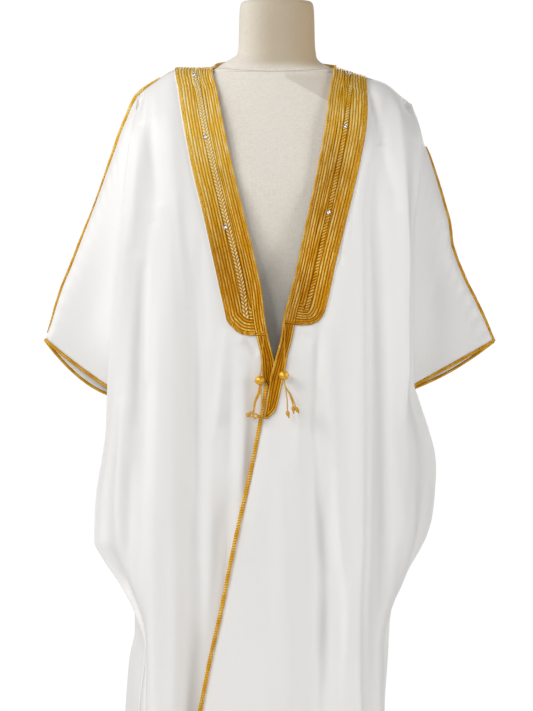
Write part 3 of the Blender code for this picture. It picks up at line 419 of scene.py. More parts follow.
def front(edge, middle, strip, folds, drape, side, drops):
    """A front's key lines (line, row, xyz), from its edge to the side seam."""
    sign = np.sign(side[0][1])
    top = side[0][0]

    def line(x_of, y_of, x_top):
        """Down from the seam, over into x_of and y_of."""
        start = seam_z(x_top, edge, side, SLOPE_RIGHT if sign < 0 else SLOPE_LEFT)
        z = start - drops * (start - HEM) / drops[-1]
        x = x_top + (x_of(z) - x_top) * np.clip(drops / LEAVE, 0, 1)
        return np.stack([x, y_of(z, start - z), z], -1)

    def hang(z, drop, dy):
        """The front's hang and dy, as far as the cloth is round the shoulder."""
        return rolled(drop) * (along(HANG, 1, z) + dy)

    keys = []
    for share, bump in strip:
        def x_of(z, share=share):
            """From the inner edge over the middle line to the outer edge."""
            m = along(middle, 1, z)
            s = share * 2 * m if share <= 0.5 else m + (share - 0.5) * 2 * (1 - m)
            inner = along(edge, 1, z)
            return inner + (along(edge, 2, z) - inner) * s

        def y_of(z, drop, bump=bump):
            """The hang, with the fold's bump low down."""
            return hang(z, drop, bump * below(z, *LOW_STRIP))

        x_top = edge[0][1] + (edge[0][2] - edge[0][1]) * share
        keys.append(line(x_of, y_of, x_top))
    for row in folds:
        xs = list(zip(LEVELS, row[1:7]))
        ys = [(level, y / 1000) for level, y in zip(LEVELS, row[7:13])]
        keys.append(line(
            lambda z: along(xs, 1, z), lambda z, d: hang(z, d, along(ys, 1, z)), row[1]))
    for dx, dy, shift in TURN_FRONT:
        def x_of(z):
            """The outline, and dx from 0.1 m below the shoulder."""
            return along(drape, 1, z) + sign * dx * below(z, top, 0.1)

        def y_of(z, drop):
            """The outline's y and dy, half of it low down."""
            return along(drape, 2, z) + dy * below(z, top, 0.1) * (1 - 0.5 * below(z, *LOW_SIDE))

        keys.append(line(x_of, y_of, drape[0][1] + sign * shift))
    keys.append(line(
        lambda z: along(side, 1, z), lambda z, d: along(side, 2, z), side[0][1]))
    return np.array(keys)


print("a front's lines:", len(STRIP_RIGHT), "+", len(FOLDS_RIGHT), "+", len(TURN_FRONT), "+ 1")

# %% [markdown]
# Under the opening the left front lies on the right one. Two sheets in one place would flicker
# through each other, so the left one's points come forward where it crosses.

# %% One front over the other
CROSSING = (1.075, 0.05)  # the left front starts to come forward at this height, fully this far below
OVERLAP = 0.1  # width over which it comes forward past the right front's edge


def at_height(grid, x, z):
    """The y of a sheet's points (column, row, xyz) at this x and height, between its lines."""
    x = np.atleast_1d(x)
    z = np.atleast_1d(z)
    out = np.empty(len(x))
    for k in range(len(x)):
        xs = np.array([np.interp(-z[k], -line[:, 2], line[:, 0]) for line in grid])
        ys = np.array([np.interp(-z[k], -line[:, 2], line[:, 1]) for line in grid])
        order = np.argsort(xs, kind="stable")
        out[k] = np.interp(x[k], xs[order], ys[order])
    return out


def over(grid, under, room, room_low):
    """The left front moved forward where it lies on the right one."""
    grid = grid.copy()
    strip = under[: len(under) - 3]
    flat = grid.reshape(-1, 3)
    z = flat[:, 2]
    lowest = at_height(strip, flat[:, 0], z)
    inner = along(EDGE_RIGHT, 1, z)
    into = np.clip((inner + OVERLAP - flat[:, 0]) / OVERLAP, 0, 1)
    into = into * into * (3 - 2 * into)
    aim = np.minimum(flat[:, 1], lowest - room - (room_low - room) * below(z, 1.0, 1.0 - HEM))
    flat[:, 1] += (aim - flat[:, 1]) * into * below(z, *CROSSING)
    return grid


print("the fronts cross below", CROSSING[0], "m")

# %% [markdown]
# The back's top edge makes a shallow curve behind the neck. At its sides three turning lines and
# a seam meet the fronts.

# %% The back's lines
BEHIND_SEAM = SEAM + 0.0022  # y of the back's top edge along the shoulder seams


def back(drops):
    """The back's key lines (line, row, xyz), from the wearer's right side to the left one."""
    def top_of(x):
        """y and height of the back's top edge at x: the shoulder seams, and a curve between them."""
        near_r = abs(EDGE_RIGHT[0][1])
        near_l = EDGE_LEFT[0][1]
        if x < -near_r:
            return BEHIND_SEAM, seam_z(x, EDGE_RIGHT, SIDE_RIGHT, SLOPE_RIGHT)
        if x > near_l:
            return BEHIND_SEAM, seam_z(x, EDGE_LEFT, SIDE_LEFT, SLOPE_LEFT)
        share = np.clip((x + near_r) / (near_l + near_r), 0, 1)
        round_ = np.sqrt(np.clip(1 - (2 * share - 1) ** 2, 0, 1))
        level = EDGE_RIGHT[0][0] + (EDGE_LEFT[0][0] - EDGE_RIGHT[0][0]) * share
        return BEHIND_SEAM + NECK_BACK[1] * round_, level + NECK_BACK[0] * round_ ** 1.3

    def line(x_top, x_of, y_of):
        """Down from the top edge, over into x_of and y_of."""
        y0, start = top_of(x_top)
        z = start - drops * (start - HEM) / drops[-1]
        x = x_top + (x_of(z) - x_top) * np.clip(drops / LEAVE, 0, 1)
        y = y0 + (y_of(z) - y0) * rolled(start - z)
        return np.stack([x, y, z], -1)

    def edge_keys(side, column, sign):
        """One side's seam and the three lines that turn round it."""
        found = [line(side[0][1], lambda z: along(side, 1, z), lambda z: along(side, 3, z))]
        for dx, dy, shift in TURN_BACK:
            def x_of(z, dx=dx):
                """The back's outline, and dx from 0.1 m below its start."""
                return along(BACK_SIDE, column, z) + sign * dx * below(z, 1.45, 0.1)

            def y_of(z, dy=dy):
                """dy, drawn in low down, most where it is smallest."""
                return dy * (1 - 0.42 * below(z, *LOW_SIDE) * (0.12 - dy) / 0.036)

            found.append(line(BACK_SIDE[0][column] + sign * shift, x_of, y_of))
        return found

    keys = edge_keys(SIDE_RIGHT, 1, -1)
    for name, share_top, share_low, blades, waist, low in BACK_FOLDS:
        depth = ((1.5, 0), (1.38, blades / 2000), (1.25, blades / 1000), (0.95, waist / 1000),
                 (HEM, low / 1000))

        def x_of(z, a=share_top, b=share_low):
            """This share of the way across, a on top and b at the hem."""
            r = along(BACK_SIDE, 1, z)
            return r + (along(BACK_SIDE, 2, z) - r) * (a + (b - a) * below(z, 1.45, 1.37))

        def y_of(z, depth=depth):
            """The back's hang and the fold's depth."""
            return along(HANG, 2, z) + along(depth, 1, z)

        x_top = BACK_SIDE[0][1] + (BACK_SIDE[0][2] - BACK_SIDE[0][1]) * share_top
        keys.append(line(x_top, x_of, y_of))
    return np.array(keys + edge_keys(SIDE_LEFT, 2, 1)[::-1])


print("back:", len(back(np.linspace(0, 1, 5))), "lines")

# %% [markdown]
# A sleeve is a flat tube of rings that start on the armhole and end on the cuff, with the top
# line at their first point.

# %% A sleeve's rings
ARM_LOW = 0.9668  # height of the armhole's low end
FLAT = 0.0052  # half the least depth of a sleeve


def sleeve(top, side, cuff, around, stations):
    """A sleeve as rings (ring, point, xyz) from the armhole to the cuff, the top line at point 0."""
    top = np.array(top, float)
    tip = top[-1]
    start = top[0]
    sign = np.sign(tip[0])
    length = run_of(top) / run_of(top)[-1]
    ridge = np.stack([np.interp(stations, length, top[:, i]) for i in range(3)], -1)
    turn = 0.5 - 0.5 * np.cos(np.pi * np.linspace(0, 1, around + 1))
    share = np.concatenate([turn, turn[-2:0:-1]])
    is_front = np.concatenate([np.ones(around + 1), np.zeros(around - 1)]).astype(bool)
    ends = np.sqrt(np.clip(1 - (2 * share - 1) ** 2, 0, 1))
    rings = []
    for s, point in zip(stations, ridge):
        hole_z = start[2] - 0.002 + (ARM_LOW - start[2] + 0.002) * share
        shut = np.where(is_front, along(side, 2, hole_z) + 0.0018, along(side, 3, hole_z) - 0.003)
        shut = np.where((share < 1e-9) | (share > 1 - 1e-9), 0.5 * start[1] * (share < 0.5), shut)
        hole_x = along(side, 1, hole_z) + sign * 0.0025
        sag = np.where(is_front, cuff[2], cuff[3]) * np.sin(np.pi * share) ** 0.8
        open_x = tip[0] + (cuff[0] - tip[0]) * share
        open_z = tip[2] + (cuff[1] - tip[2]) * share - sag
        half = np.where(is_front, -1, 1) * (0.0065 * np.minimum(ends * 2.4, 1) + 0.007 * ends)
        a = np.stack([hole_x, shut, hole_z], -1)
        b = np.stack([open_x, half, open_z], -1)
        ring = a + (b - a) * s
        line = start + (tip - start) * s
        ring += (point - line) * ((1 - share) ** 2)[:, None]
        wave = 0.006 * np.sin(np.pi * s) * np.sin(2 * np.pi * share) * ends
        ring[:, 1] += np.where(is_front, wave, -wave)
        keep = FLAT * np.minimum(ends * 3.2, 1)
        ring[:, 1] = np.where(is_front, np.minimum(ring[:, 1], point[1] * (1 - share) - keep),
                              np.maximum(ring[:, 1], point[1] * (1 - share) + keep))
        rings.append(ring)
    return np.array(rings)


print("sleeve:", sleeve(TOP_RIGHT, SIDE_RIGHT, CUFF_RIGHT, 4, np.linspace(0, 1, 3)).shape)

# %% [markdown]
# Three more helpers: which way a sheet faces, a path beside its edge for a cord, and an oval.

# %% Normals, paths and ovals
def normals(grid):
    """Unit normals of a sheet (column, row, xyz), the same side all over."""
    across = np.gradient(grid, axis=0)
    down = np.gradient(grid, axis=1)
    n = np.cross(across, down)
    return n / np.maximum(np.linalg.norm(n, axis=-1, keepdims=True), 1e-12)


def along_edge(grid, column, inward, off, start, stop):
    """A path beside a sheet's edge column, off it in the sheet's own plane, between two heights."""
    path = grid[column] + unit(grid[column] - grid[inward]) * off
    keep = (path[:, 2] < start) & (path[:, 2] > stop)
    return path[keep]


def oval(a, b, x, y, z, n, turn):
    """A level ring at these angles: a sign(cos) |cos|^(2 / n) across and b the same of sin deep."""
    c = np.cos(turn)
    s = np.sin(turn)
    return np.stack([x + a * np.sign(c) * np.abs(c) ** (2 / n),
                     y + b * np.sign(s) * np.abs(s) ** (2 / n), z + 0 * turn], -1)


print("an oval's first point:", oval(2.0, 1.0, 0, 0, 0, 2.0, np.zeros(1))[0])

# %% [markdown]
# ## Bands, tabs and beads in numbers
# A band covers the strip down to its rounded lower corner. From there a narrow tab goes on, and a
# bead hangs beside it on a string. Shares of the strip keep them on the cloth's own edge.

# %% Bands, tabs and strings
# Bands and tabs: height, share of the strip that they cover.
BAND_RIGHT = ((1.5, 1.0), (1.096, 1.0), (1.085, 0.957), (1.076, 0.86), (1.0684, 0.76),
              (1.063, 0.62), (1.0605, 0.46))
BAND_LEFT = ((1.5, 1.0), (1.1134, 1.0), (1.1059, 0.978), (1.0933, 0.899), (1.087, 0.8),
             (1.082, 0.66), (1.0792, 0.46))
TAB_RIGHT = ((1.06, 0.3), (1.037, 0.297), (0.9957, 0.31), (0.98, 0.24), (0.968, 0.12))
TAB_LEFT = ((1.08, 0.3), (1.0332, 0.28), (1.0102, 0.3), (0.9833, 0.304), (0.9563, 0.286),
            (0.9396, 0.2545), (0.933, 0.19), (0.9262, 0.1))
# Beads on strings: x and z of the string's top, x and z of the bead.
HANG_RIGHT = (-0.0196, 1.06, -0.0245, 0.988)
HANG_LEFT = (0.0156, 1.078, 0.0142, 0.996)
print("bands end at", BAND_RIGHT[-1][0], "and", BAND_LEFT[-1][0], "m")

# %% [markdown]
# ## Shader maths
# Every finish is a sum of a few patterns. A small class wraps a node's socket, so that the sums
# read as formulas. A picture laid on the piece would be simpler, but patterns stay sharp close by.

# %% A number or a colour in a shader
class Field:
    """A number or a colour in a shader, with arithmetic on numbers."""

    def __init__(self, tree, socket):
        self.tree = tree
        self.socket = socket

    def node(self, kind, settings=None, **inputs):
        """Any other node: its settings, then the values or links of its sockets by name."""
        made = self.tree.nodes.new(kind)
        for name, value in (settings or {}).items():
            setattr(made, name, value)
        for name, value in inputs.items():
            key = int(name[1:]) if name[0] == "i" and name[1:].isdigit() else name.replace("_", " ")
            if isinstance(value, Field):
                self.tree.links.new(value.socket, made.inputs[key])
            else:
                made.inputs[key].default_value = value
        return made

    def math(self, operation, *others):
        """One step of arithmetic with this number first."""
        made = self.node("ShaderNodeMath", {"operation": operation}, i0=self,
                         **{f"i{k + 1}": other for k, other in enumerate(others)})
        return Field(self.tree, made.outputs[0])

    def __add__(self, other):
        return self.math("ADD", other)

    def __sub__(self, other):
        return self.math("SUBTRACT", other)

    def __mul__(self, other):
        return self.math("MULTIPLY", other)

    def __truediv__(self, other):
        return self.math("DIVIDE", other)

    def __rsub__(self, other):
        """A number minus this one, so that 1 - mask works."""
        return (self * -1.0) + other

    __radd__ = __add__
    __rmul__ = __mul__

    def sin(self):
        """The sine of this angle."""
        return self.math("SINE")

    def wave(self):
        """0 to 1, a smooth wave of this phase in turns."""
        return (self * (2 * np.pi)).sin() * 0.5 + 0.5

    def ramp(self, low, high):
        """0 at low, 1 at high, smooth between."""
        made = self.node("ShaderNodeMapRange", {"interpolation_type": "SMOOTHSTEP"}, Value=self,
                         From_Min=low, From_Max=high, To_Min=0.0, To_Max=1.0)
        return Field(self.tree, made.outputs[0])

    def noise(self, scale, detail=2.0, rough=0.5):
        """Soft noise around 0.5, where this field is a position."""
        made = self.node("ShaderNodeTexNoise", None, Vector=self, Scale=scale, Detail=detail,
                         Roughness=rough)
        return Field(self.tree, made.outputs[0])

    def stretched(self, x, y, z):
        """The place, each of its axes multiplied: more of a pattern's waves to the metre."""
        made = self.node("ShaderNodeVectorMath", {"operation": "MULTIPLY"}, i0=self, i1=(x, y, z))
        return Field(self.tree, made.outputs[0])

    def part(self, axis):
        """X, Y or Z of a place."""
        made = self.node("ShaderNodeSeparateXYZ", None, i0=self)
        return Field(self.tree, made.outputs[axis])


print("Field can be added, multiplied, waved and ramped")

# %% [markdown]
# A finish is a material with one Principled shader. Patterns are linked only to the sockets that
# have to vary, and colours are mixed from two ends by a share.

# %% A finish and its patterns
def blend(share, a, b):
    """From colour a to colour b."""
    made = share.tree.nodes.new("ShaderNodeMix")
    made.data_type = "RGBA"
    ends = {"A": a, "B": b}
    share.tree.links.new(share.socket, made.inputs[0])
    for key, value in ends.items():
        socket = next(s for s in made.inputs if s.name == key and s.type == "RGBA")
        if isinstance(value, Field):
            share.tree.links.new(value.socket, socket)
        else:
            socket.default_value = (*value, 1.0)
    return Field(share.tree, next(s for s in made.outputs if s.type == "RGBA"))


class Finish:
    """A material with one Principled shader: constants first, then what varies."""

    def __init__(self, name, **constants):
        self.material = bpy.data.materials.new(name)
        self.material.use_nodes = True
        self.tree = self.material.node_tree
        self.shader = self.tree.nodes["Principled BSDF"]
        for key, value in constants.items():
            socket = self.shader.inputs[key.replace("_", " ")]
            socket.default_value = (*value, 1.0) if hasattr(value, "__len__") and len(value) == 3 else value

    def place(self):
        """Where a point is in the piece's own frame, in metres."""
        made = self.tree.nodes.new("ShaderNodeTexCoord")
        return Field(self.tree, made.outputs["Object"])

    def attribute(self, name):
        """A number that the mesh carries at its points."""
        made = self.tree.nodes.new("ShaderNodeAttribute")
        made.attribute_name = name
        return Field(self.tree, made.outputs["Fac"])

    def uv(self, name):
        """The place on the mesh's own flat map, in metres."""
        made = self.tree.nodes.new("ShaderNodeUVMap")
        made.uv_map = name
        return Field(self.tree, made.outputs[0])

    def vary(self, key, field):
        """The pattern goes into this socket of the shader."""
        self.tree.links.new(field.socket, self.shader.inputs[key.replace("_", " ")])

    def bump(self, height, distance, strength=1.0):
        """The light falls as if the pattern's height, this far from 0 to 1, stood on the surface."""
        made = height.node("ShaderNodeBump", None, Strength=strength, Distance=distance, Height=height)
        self.tree.links.new(made.outputs[0], self.shader.inputs["Normal"])


print("materials so far:", len(bpy.data.materials))

# %% [markdown]
# ## Finishes
# The cloak is a fine plain weave with a soft sheen. Its threads are far finer than a step away
# shows, so only a faint drawn-out unevenness is bumped. A picture of cloth would give the same
# look from one distance only.

# %% White cloth
def white_cloth():
    """White with a sheen. The bump is noise drawn out along the hang of the cloth."""
    made = Finish("white_weave", Base_Color=(0.895, 0.893, 0.89), Roughness=0.56, Sheen_Weight=0.22,
                  Sheen_Roughness=0.35)
    place = made.place()
    made.bump(place.stretched(60.0, 60.0, 5.0).noise(1.0, 3.0) * 0.9
              + place.stretched(900.0, 900.0, 900.0).noise(1.0, 1.0) * 0.06, 0.0011, 0.35)
    return made.material


WHITE_CLOTH = white_cloth()
print("finish:", WHITE_CLOTH.name)

# %% [markdown]
# The form's linen is coarser and shows its crossed threads. The light and shade that the cloak
# and its gold give the neck are painted into its colour: painted shade on the neck's front, darker
# from its middle to the wearer's left, painted warm light at that side, and a painted shadow below
# the neck beside the left band. These tones are mixed in by place, because lights alone didn't
# give them.

# %% Linen
LINEN_DARK = (0.79, 0.745, 0.665)
LINEN_LIGHT = (0.885, 0.85, 0.785)
# Colours of painted shade, painted warm light and painted shadow on the neck and chest.
LINEN_PAINTED_SHADE = (0.5, 0.4, 0.265)
LINEN_PAINTED_WARM_LIGHT = (0.68, 0.5, 0.3)
LINEN_PAINTED_SHADOW = (0.5, 0.42, 0.31)


def linen():
    """Natural linen: two sets of threads, each a wave over the height or the width, and slubs."""
    made = Finish("linen_weave", Roughness=0.85, Sheen_Weight=0.15)
    place = made.place()
    x, y, z = place.part("X"), place.part("Y"), place.part("Z")
    across = (x * 900.0 + y * 500.0).wave()
    up = (z * 820.0).wave()
    slub = (place.stretched(140.0, 140.0, 900.0).noise(1.0, 2.0)
            + place.stretched(900.0, 500.0, 90.0).noise(1.0, 2.0))
    colour = blend((slub * 0.5).ramp(0.33, 0.67), LINEN_DARK, LINEN_LIGHT)
    # Painted shade on the neck's front, darker from its middle to the wearer's left, and painted warm light
    # at that side.
    neck_front = z.ramp(1.492, 1.512) * (y * -1.0).ramp(-0.035, 0.02)
    colour = blend(neck_front * x.ramp(-0.078, 0.004) * 0.8, colour, LINEN_PAINTED_SHADE)
    colour = blend(neck_front * x.ramp(0.012, 0.062) * 0.7, colour, LINEN_PAINTED_WARM_LIGHT)
    # Below the neck a soft slanted painted shadow of the neck lies beside the left band.
    shadow = (x + z * 1.73 - 2.5785).ramp(0.0, 0.006) * (1.0 - z.ramp(1.48, 1.498))
    colour = blend(shadow * x.ramp(0.012, 0.022) * 0.38, colour, LINEN_PAINTED_SHADOW)
    made.vary("Base_Color", colour)
    made.bump(across * up * 0.5 + slub * 0.8, 0.0005, 0.5)
    return made.material


LINEN_CLOTH = linen()
print("finish:", LINEN_CLOTH.name)

# %% [markdown]
# Gold metal thread is flat strip wound on a core, couched down side by side. The ribs are raised
# in the mesh, which carries their height as an attribute: in the colour, grooves hold painted shade
# and tarnish, and tops a painted highlight. The winding is a fine slanted wave in the bump, along
# the piece's own UV map.

# %% Gold thread
# Painted light: the lit middle tone, lit tint and painted highlight given to the thread toward the shoulders.
PAINTED_LIT_GOLD = (1.0, 0.66, 0.06)  # the middle tone of new thread, then its tint and its shine
PAINTED_LIT_TINT = (1.0, 0.56, 0.02)
PAINTED_TOP_HIGHLIGHT = (1.0, 0.95, 0.58)
PALE_GOLD = (1.0, 0.93, 0.62)  # the tops of the plait


def gold_thread(name, low, middle, high, rough=0.4, metal=0.72, pitch=0.0016, slant=300.0,
                depth=0.0005):
    """Colour by the rib's height with a painted broken glint on the tops. The bump is a wave along the
    thread.
    """
    made = Finish(name, Specular_IOR_Level=0.1, Coat_Roughness=0.22)
    rib = made.attribute("rib")
    place = made.place()
    uv = made.uv("thread")
    fleck = place.stretched(750.0, 750.0, 750.0).noise(1.0, 2.0, 0.6).ramp(0.42, 0.72)
    streak = uv.stretched(330.0, 24.0, 1.0).noise(1.0, 3.0).ramp(0.4, 0.62)
    patch = place.stretched(38.0, 38.0, 24.0).noise(1.0, 2.0).ramp(0.36, 0.66)
    # Painted light (the mask new): the thread is coloured brighter and yellower toward the shoulders, where
    # the bands face up, most on the wearer's right side.
    new = place.part("Z").ramp(1.16, 1.47) * ((place.part("X") * -1.0).ramp(-0.1, 0.1) * 0.6 + 0.4)
    colour = blend(rib.ramp(0.1, 0.75), low, blend(new, middle, PAINTED_LIT_GOLD))
    colour = blend(new * 0.55, colour, PAINTED_LIT_TINT)
    # Painted highlight on the rib tops: broken by flecks, streaks and patches, and more of it with the
    # painted light toward the shoulders.
    shine = fleck * 0.5 + streak * 0.9 + patch * 0.35 + new * 0.4 - 0.12
    colour = blend(rib.ramp(0.58, 0.98) * shine, colour, blend(new, high, PAINTED_TOP_HIGHLIGHT))
    colour = blend(rib.ramp(1.05, 1.3), colour, PALE_GOLD)
    # Tarnish, in fine grains and in wide patches.
    grain = place.stretched(420.0, 420.0, 420.0).noise(1.0, 2.0, 0.6).ramp(0.5, 0.66)
    colour = blend(grain * (new * -0.25 + 0.42), colour, low)
    wide = place.stretched(13.0, 13.0, 9.0).noise(1.0, 2.0).ramp(0.4, 0.66)
    colour = blend(wide * (new * -0.2 + 0.3), colour, low)
    made.vary("Base_Color", colour)
    made.vary("Coat_Weight", rib.ramp(0.7, 1.0) * (fleck * 0.5 + streak * 0.4) * (new * 0.6 + 0.4))
    made.vary("Roughness", fleck * -0.1 + (rough + 0.05))
    made.vary("Metallic", rib.ramp(1.05, 1.35) * (0.1 - metal) + metal)
    turn = (uv.part("Y") / pitch + uv.part("X") * slant).wave()
    made.bump(turn * 0.7 + fleck * 0.9, depth, 0.7)
    return made.material


# Each tone of thread: colour in the grooves (painted shade and tarnish), on the sides and on the tops (a
# painted highlight), roughness, metal.
GOLD_BAND = gold_thread("gold_band", (0.27, 0.078, 0.0003), (0.8, 0.35, 0.001),
                        (1.0, 0.8, 0.22), 0.34, 0.25)
GOLD_CORD = gold_thread("gold_cord", (0.34, 0.13, 0.006), (0.82, 0.46, 0.045),
                        (1.0, 0.84, 0.36), 0.36, 0.55)
GOLD_EDGE = gold_thread("gold_edge", (0.56, 0.23, 0.006), (0.98, 0.53, 0.022),
                        (1.0, 0.9, 0.4), 0.34, 0.18)
GOLD_STRING = gold_thread("gold_string", (0.58, 0.27, 0.016), (0.94, 0.54, 0.06),
                          (1.0, 0.82, 0.34), 0.42, 0.3)
GOLD_BEAD = gold_thread("gold_bead", (0.62, 0.3, 0.012), (0.9, 0.5, 0.05),
                        (1.0, 0.7, 0.18), 0.3, 0.62, 0.0011, 0.0, 0.00015)
print("finishes so far:", len(bpy.data.materials))

# %% [markdown]
# ## From points to meshes
# A piece is a grid of points, worked out with whole arrays. These few functions turn a grid into
# a mesh object with smooth shading, its own UV map and its rib heights. Point by point it would
# take minutes for pieces this fine.

# %% Meshes from grids
def mesh_piece(name, points, quads, finish, uv=None, rib=None, extra=()):
    """A mesh from points (n, 3), quads (m, 4) and further faces, all facing outward."""
    mesh = bpy.data.meshes.new(name)
    points = np.asarray(points, np.float32).reshape(-1, 3)
    quads = np.asarray(quads, np.int32).reshape(-1, 4)
    loops = [quads.reshape(-1)] + [np.asarray(face, np.int32) for face in extra]
    sizes = np.concatenate([np.full(len(quads), 4), [len(face) for face in extra]]).astype(np.int32)
    loops = np.concatenate(loops).astype(np.int32)
    mesh.vertices.add(len(points))
    mesh.vertices.foreach_set("co", points.reshape(-1))
    mesh.loops.add(len(loops))
    mesh.loops.foreach_set("vertex_index", loops)
    mesh.polygons.add(len(sizes))
    mesh.polygons.foreach_set("loop_start", np.concatenate([[0], np.cumsum(sizes)[:-1]]).astype(np.int32))
    mesh.polygons.foreach_set("loop_total", sizes)
    mesh.update(calc_edges=True)
    mesh.polygons.foreach_set("use_smooth", np.arange(len(sizes)) < len(quads))
    if uv is not None:
        layer = mesh.uv_layers.new(name="thread")
        layer.data.foreach_set("uv", np.asarray(uv, np.float32).reshape(-1, 2)[loops].reshape(-1))
    if rib is not None:
        made = mesh.attributes.new("rib", "FLOAT", "POINT")
        made.data.foreach_set("value", np.asarray(rib, np.float32).reshape(-1))
    mesh.materials.append(finish)
    mesh.validate()
    made = bpy.data.objects.new(name, mesh)
    bpy.context.scene.collection.objects.link(made)
    return made


def grid_quads(cols, rows, ring=False, flip=False):
    """Quads of a grid whose point (i, j) has the index i * rows + j."""
    i, j = np.meshgrid(np.arange(cols if ring else cols - 1), np.arange(rows - 1), indexing="ij")
    a = i * rows + j
    b = (i + 1) % cols * rows + j
    quads = np.stack([a, b, b + 1, a + 1], -1).reshape(-1, 4)
    return quads[:, ::-1] if flip else quads


def cloth_piece(name, grid, flip, wall=0.0012, ring=False):
    """A sheet with a wall behind it; the grid is its outer face."""
    cols, rows = grid.shape[:2]
    made = mesh_piece(name, grid, grid_quads(cols, rows, ring, flip), WHITE_CLOTH)
    thick = made.modifiers.new("wall", "SOLIDIFY")
    thick.thickness = wall
    thick.offset = -1
    return made


print("a grid of 3 by 2 points has", len(grid_quads(3, 2)), "quads")

# %% [markdown]
# All pieces ride on one body, because cloth has no hinges, and most stand for a solid.

# %% Body and solids
def put(piece, nodes):
    """The piece rides on the one body and stands for its solids."""
    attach(piece, "root")
    if nodes:
        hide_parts(*nodes)
    print(piece.name, len(piece.data.vertices), "points")
    return piece


# %% [markdown]
# ## The cloak's cloth
# Two fronts and a back are cut straight and sewn at the shoulders and sides. The solids' fold
# tables are sampled finer, and small creases are laid on, each a line with a soft
# profile. A cloth simulation would also fold the sheet, but not where the photo has its folds.

# %% Creases
def creased(grid, facing, lines):
    """Each crease: exp(-(distance / width)^2) along a line, fading to nothing at both ends."""
    out = grid.copy()
    flat = grid[..., (0, 2)]
    for x0, z0, x1, z1, rise, width in lines:
        a = np.array((x0, z0))
        d = np.array((x1, z1)) - a
        share = np.clip(((flat - a) @ d) / (d @ d), 0, 1)
        far = np.linalg.norm(flat - (a + share[..., None] * d), axis=-1)
        profile = np.exp(-(far / (width / 1000)) ** 2) * np.clip(4 * share * (1 - share), 0, 1) ** 0.5
        out += facing * (profile * rise / 1000)[..., None]
    return out


def front_facing(facing, sign=-1, both=False):
    """1 where a sheet faces the viewer, 0 round its sides and at its seams, smooth between."""
    cols, rows = facing.shape[:2]
    seam = np.clip(np.arange(rows) / 12, 0, 1)[None]
    seam = seam * np.clip((cols - 1 - np.arange(cols)) / 6, 0, 1)[:, None]
    if both:
        seam = seam * np.clip(np.arange(cols) / 6, 0, 1)[:, None]
    return (np.clip(facing[..., 1] * sign * 2.2 - 0.4, 0, 1) * seam)[..., None]


print("a crease at its half width rises to", round(float(np.exp(-1)), 2), "of its height")

# %% [markdown]
# The fronts' lines are read finely, closest over the shoulder, where the cloth turns hardest. The
# left one is brought over the right one, and both are pushed clear of the form.

# %% The sheets of the fronts
FINE = np.unique(np.concatenate([np.linspace(0, 0.03, 14), np.linspace(0.03, 0.5, 120),
                                 np.linspace(0.5, 1.0, 90), np.linspace(1.0, 1.4187, 36)]))
STEPS = 6  # lines from one of the strip's five lines to the next
CUTS = (STEPS,) * 4 + (10,) * 10
CROSS_ROOM = (0.01, 0.016)  # room between the fronts where they cross and at the hem
keys_right = front(EDGE_RIGHT, MIDDLE_RIGHT, STRIP_RIGHT, FOLDS_RIGHT, DRAPE_RIGHT, SIDE_RIGHT, FINE)
keys_left = front(EDGE_LEFT, MIDDLE_LEFT, STRIP_LEFT, FOLDS_LEFT, DRAPE_LEFT, SIDE_LEFT, FINE)
keys_left = over(keys_left, keys_right, *CROSS_ROOM)
right = form_out(through(keys_right, CUTS), CLEAR)
left = form_out(through(keys_left, CUTS), CLEAR)
out_right = normals(right)
out_left = -normals(left)


def shut(sheet, column):
    """The sheet's seam column closed: points within 0.9 mm of the middle plane are set on it."""
    y = sheet[column, :, 1]
    sheet[column, :, 1] = np.where(np.abs(y) < 0.0009, 0, y)


shut(right, -1)
shut(left, -1)
print("fronts:", right.shape, left.shape)

# %% [markdown]
# The creases of both fronts are placed one by one as the photo has them. A sculpting brush could
# draw them too, but as rows of numbers each one can be moved again.

# %% Creases of the fronts
# x and z of each end, rise (+ outward) and half width in mm.
CREASES_RIGHT = (
    (-0.052, 1.053, -0.026, 1.031, -5.5, 8), (-0.205, 1.412, -0.186, 1.27, -4.0, 14),
    (-0.173, 1.43, -0.15, 1.251, 3.0, 12), (-0.222, 1.401, -0.231, 1.2, 4.0, 10),
    (-0.161, 1.298, -0.143, 1.102, 2.6, 7), (-0.122, 1.225, -0.112, 1.045, -3.0, 8),
    (-0.129, 1.19, -0.127, 0.695, -3.2, 8), (-0.196, 1.241, -0.204, 0.98, 4.0, 9),
    (-0.215, 1.181, -0.222, 0.9, -4.0, 10), (-0.08, 1.07, -0.096, 0.89, 3.0, 7),
    (-0.068, 1.045, -0.075, 0.841, -3.0, 8), (-0.145, 1.099, -0.139, 0.799, 2.6, 10),
    (-0.249, 0.96, -0.262, 0.76, 4.0, 11), (-0.235, 0.861, -0.243, 0.639, -4.0, 9),
    (-0.267, 0.799, -0.225, 0.639, 3.0, 9), (-0.179, 0.76, -0.176, 0.48, -2.6, 10),
    (-0.049, 1.013, -0.057, 0.793, 2.5, 8), (-0.103, 0.956, -0.109, 0.564, 2.4, 10),
    (-0.161, 0.695, -0.168, 0.434, 3.0, 10), (-0.204, 0.825, -0.2, 0.467, 2.5, 10),
    (-0.08, 0.76, -0.099, 0.483, 2.0, 9), (-0.253, 1.273, -0.266, 1.119, 2.5, 8),
)
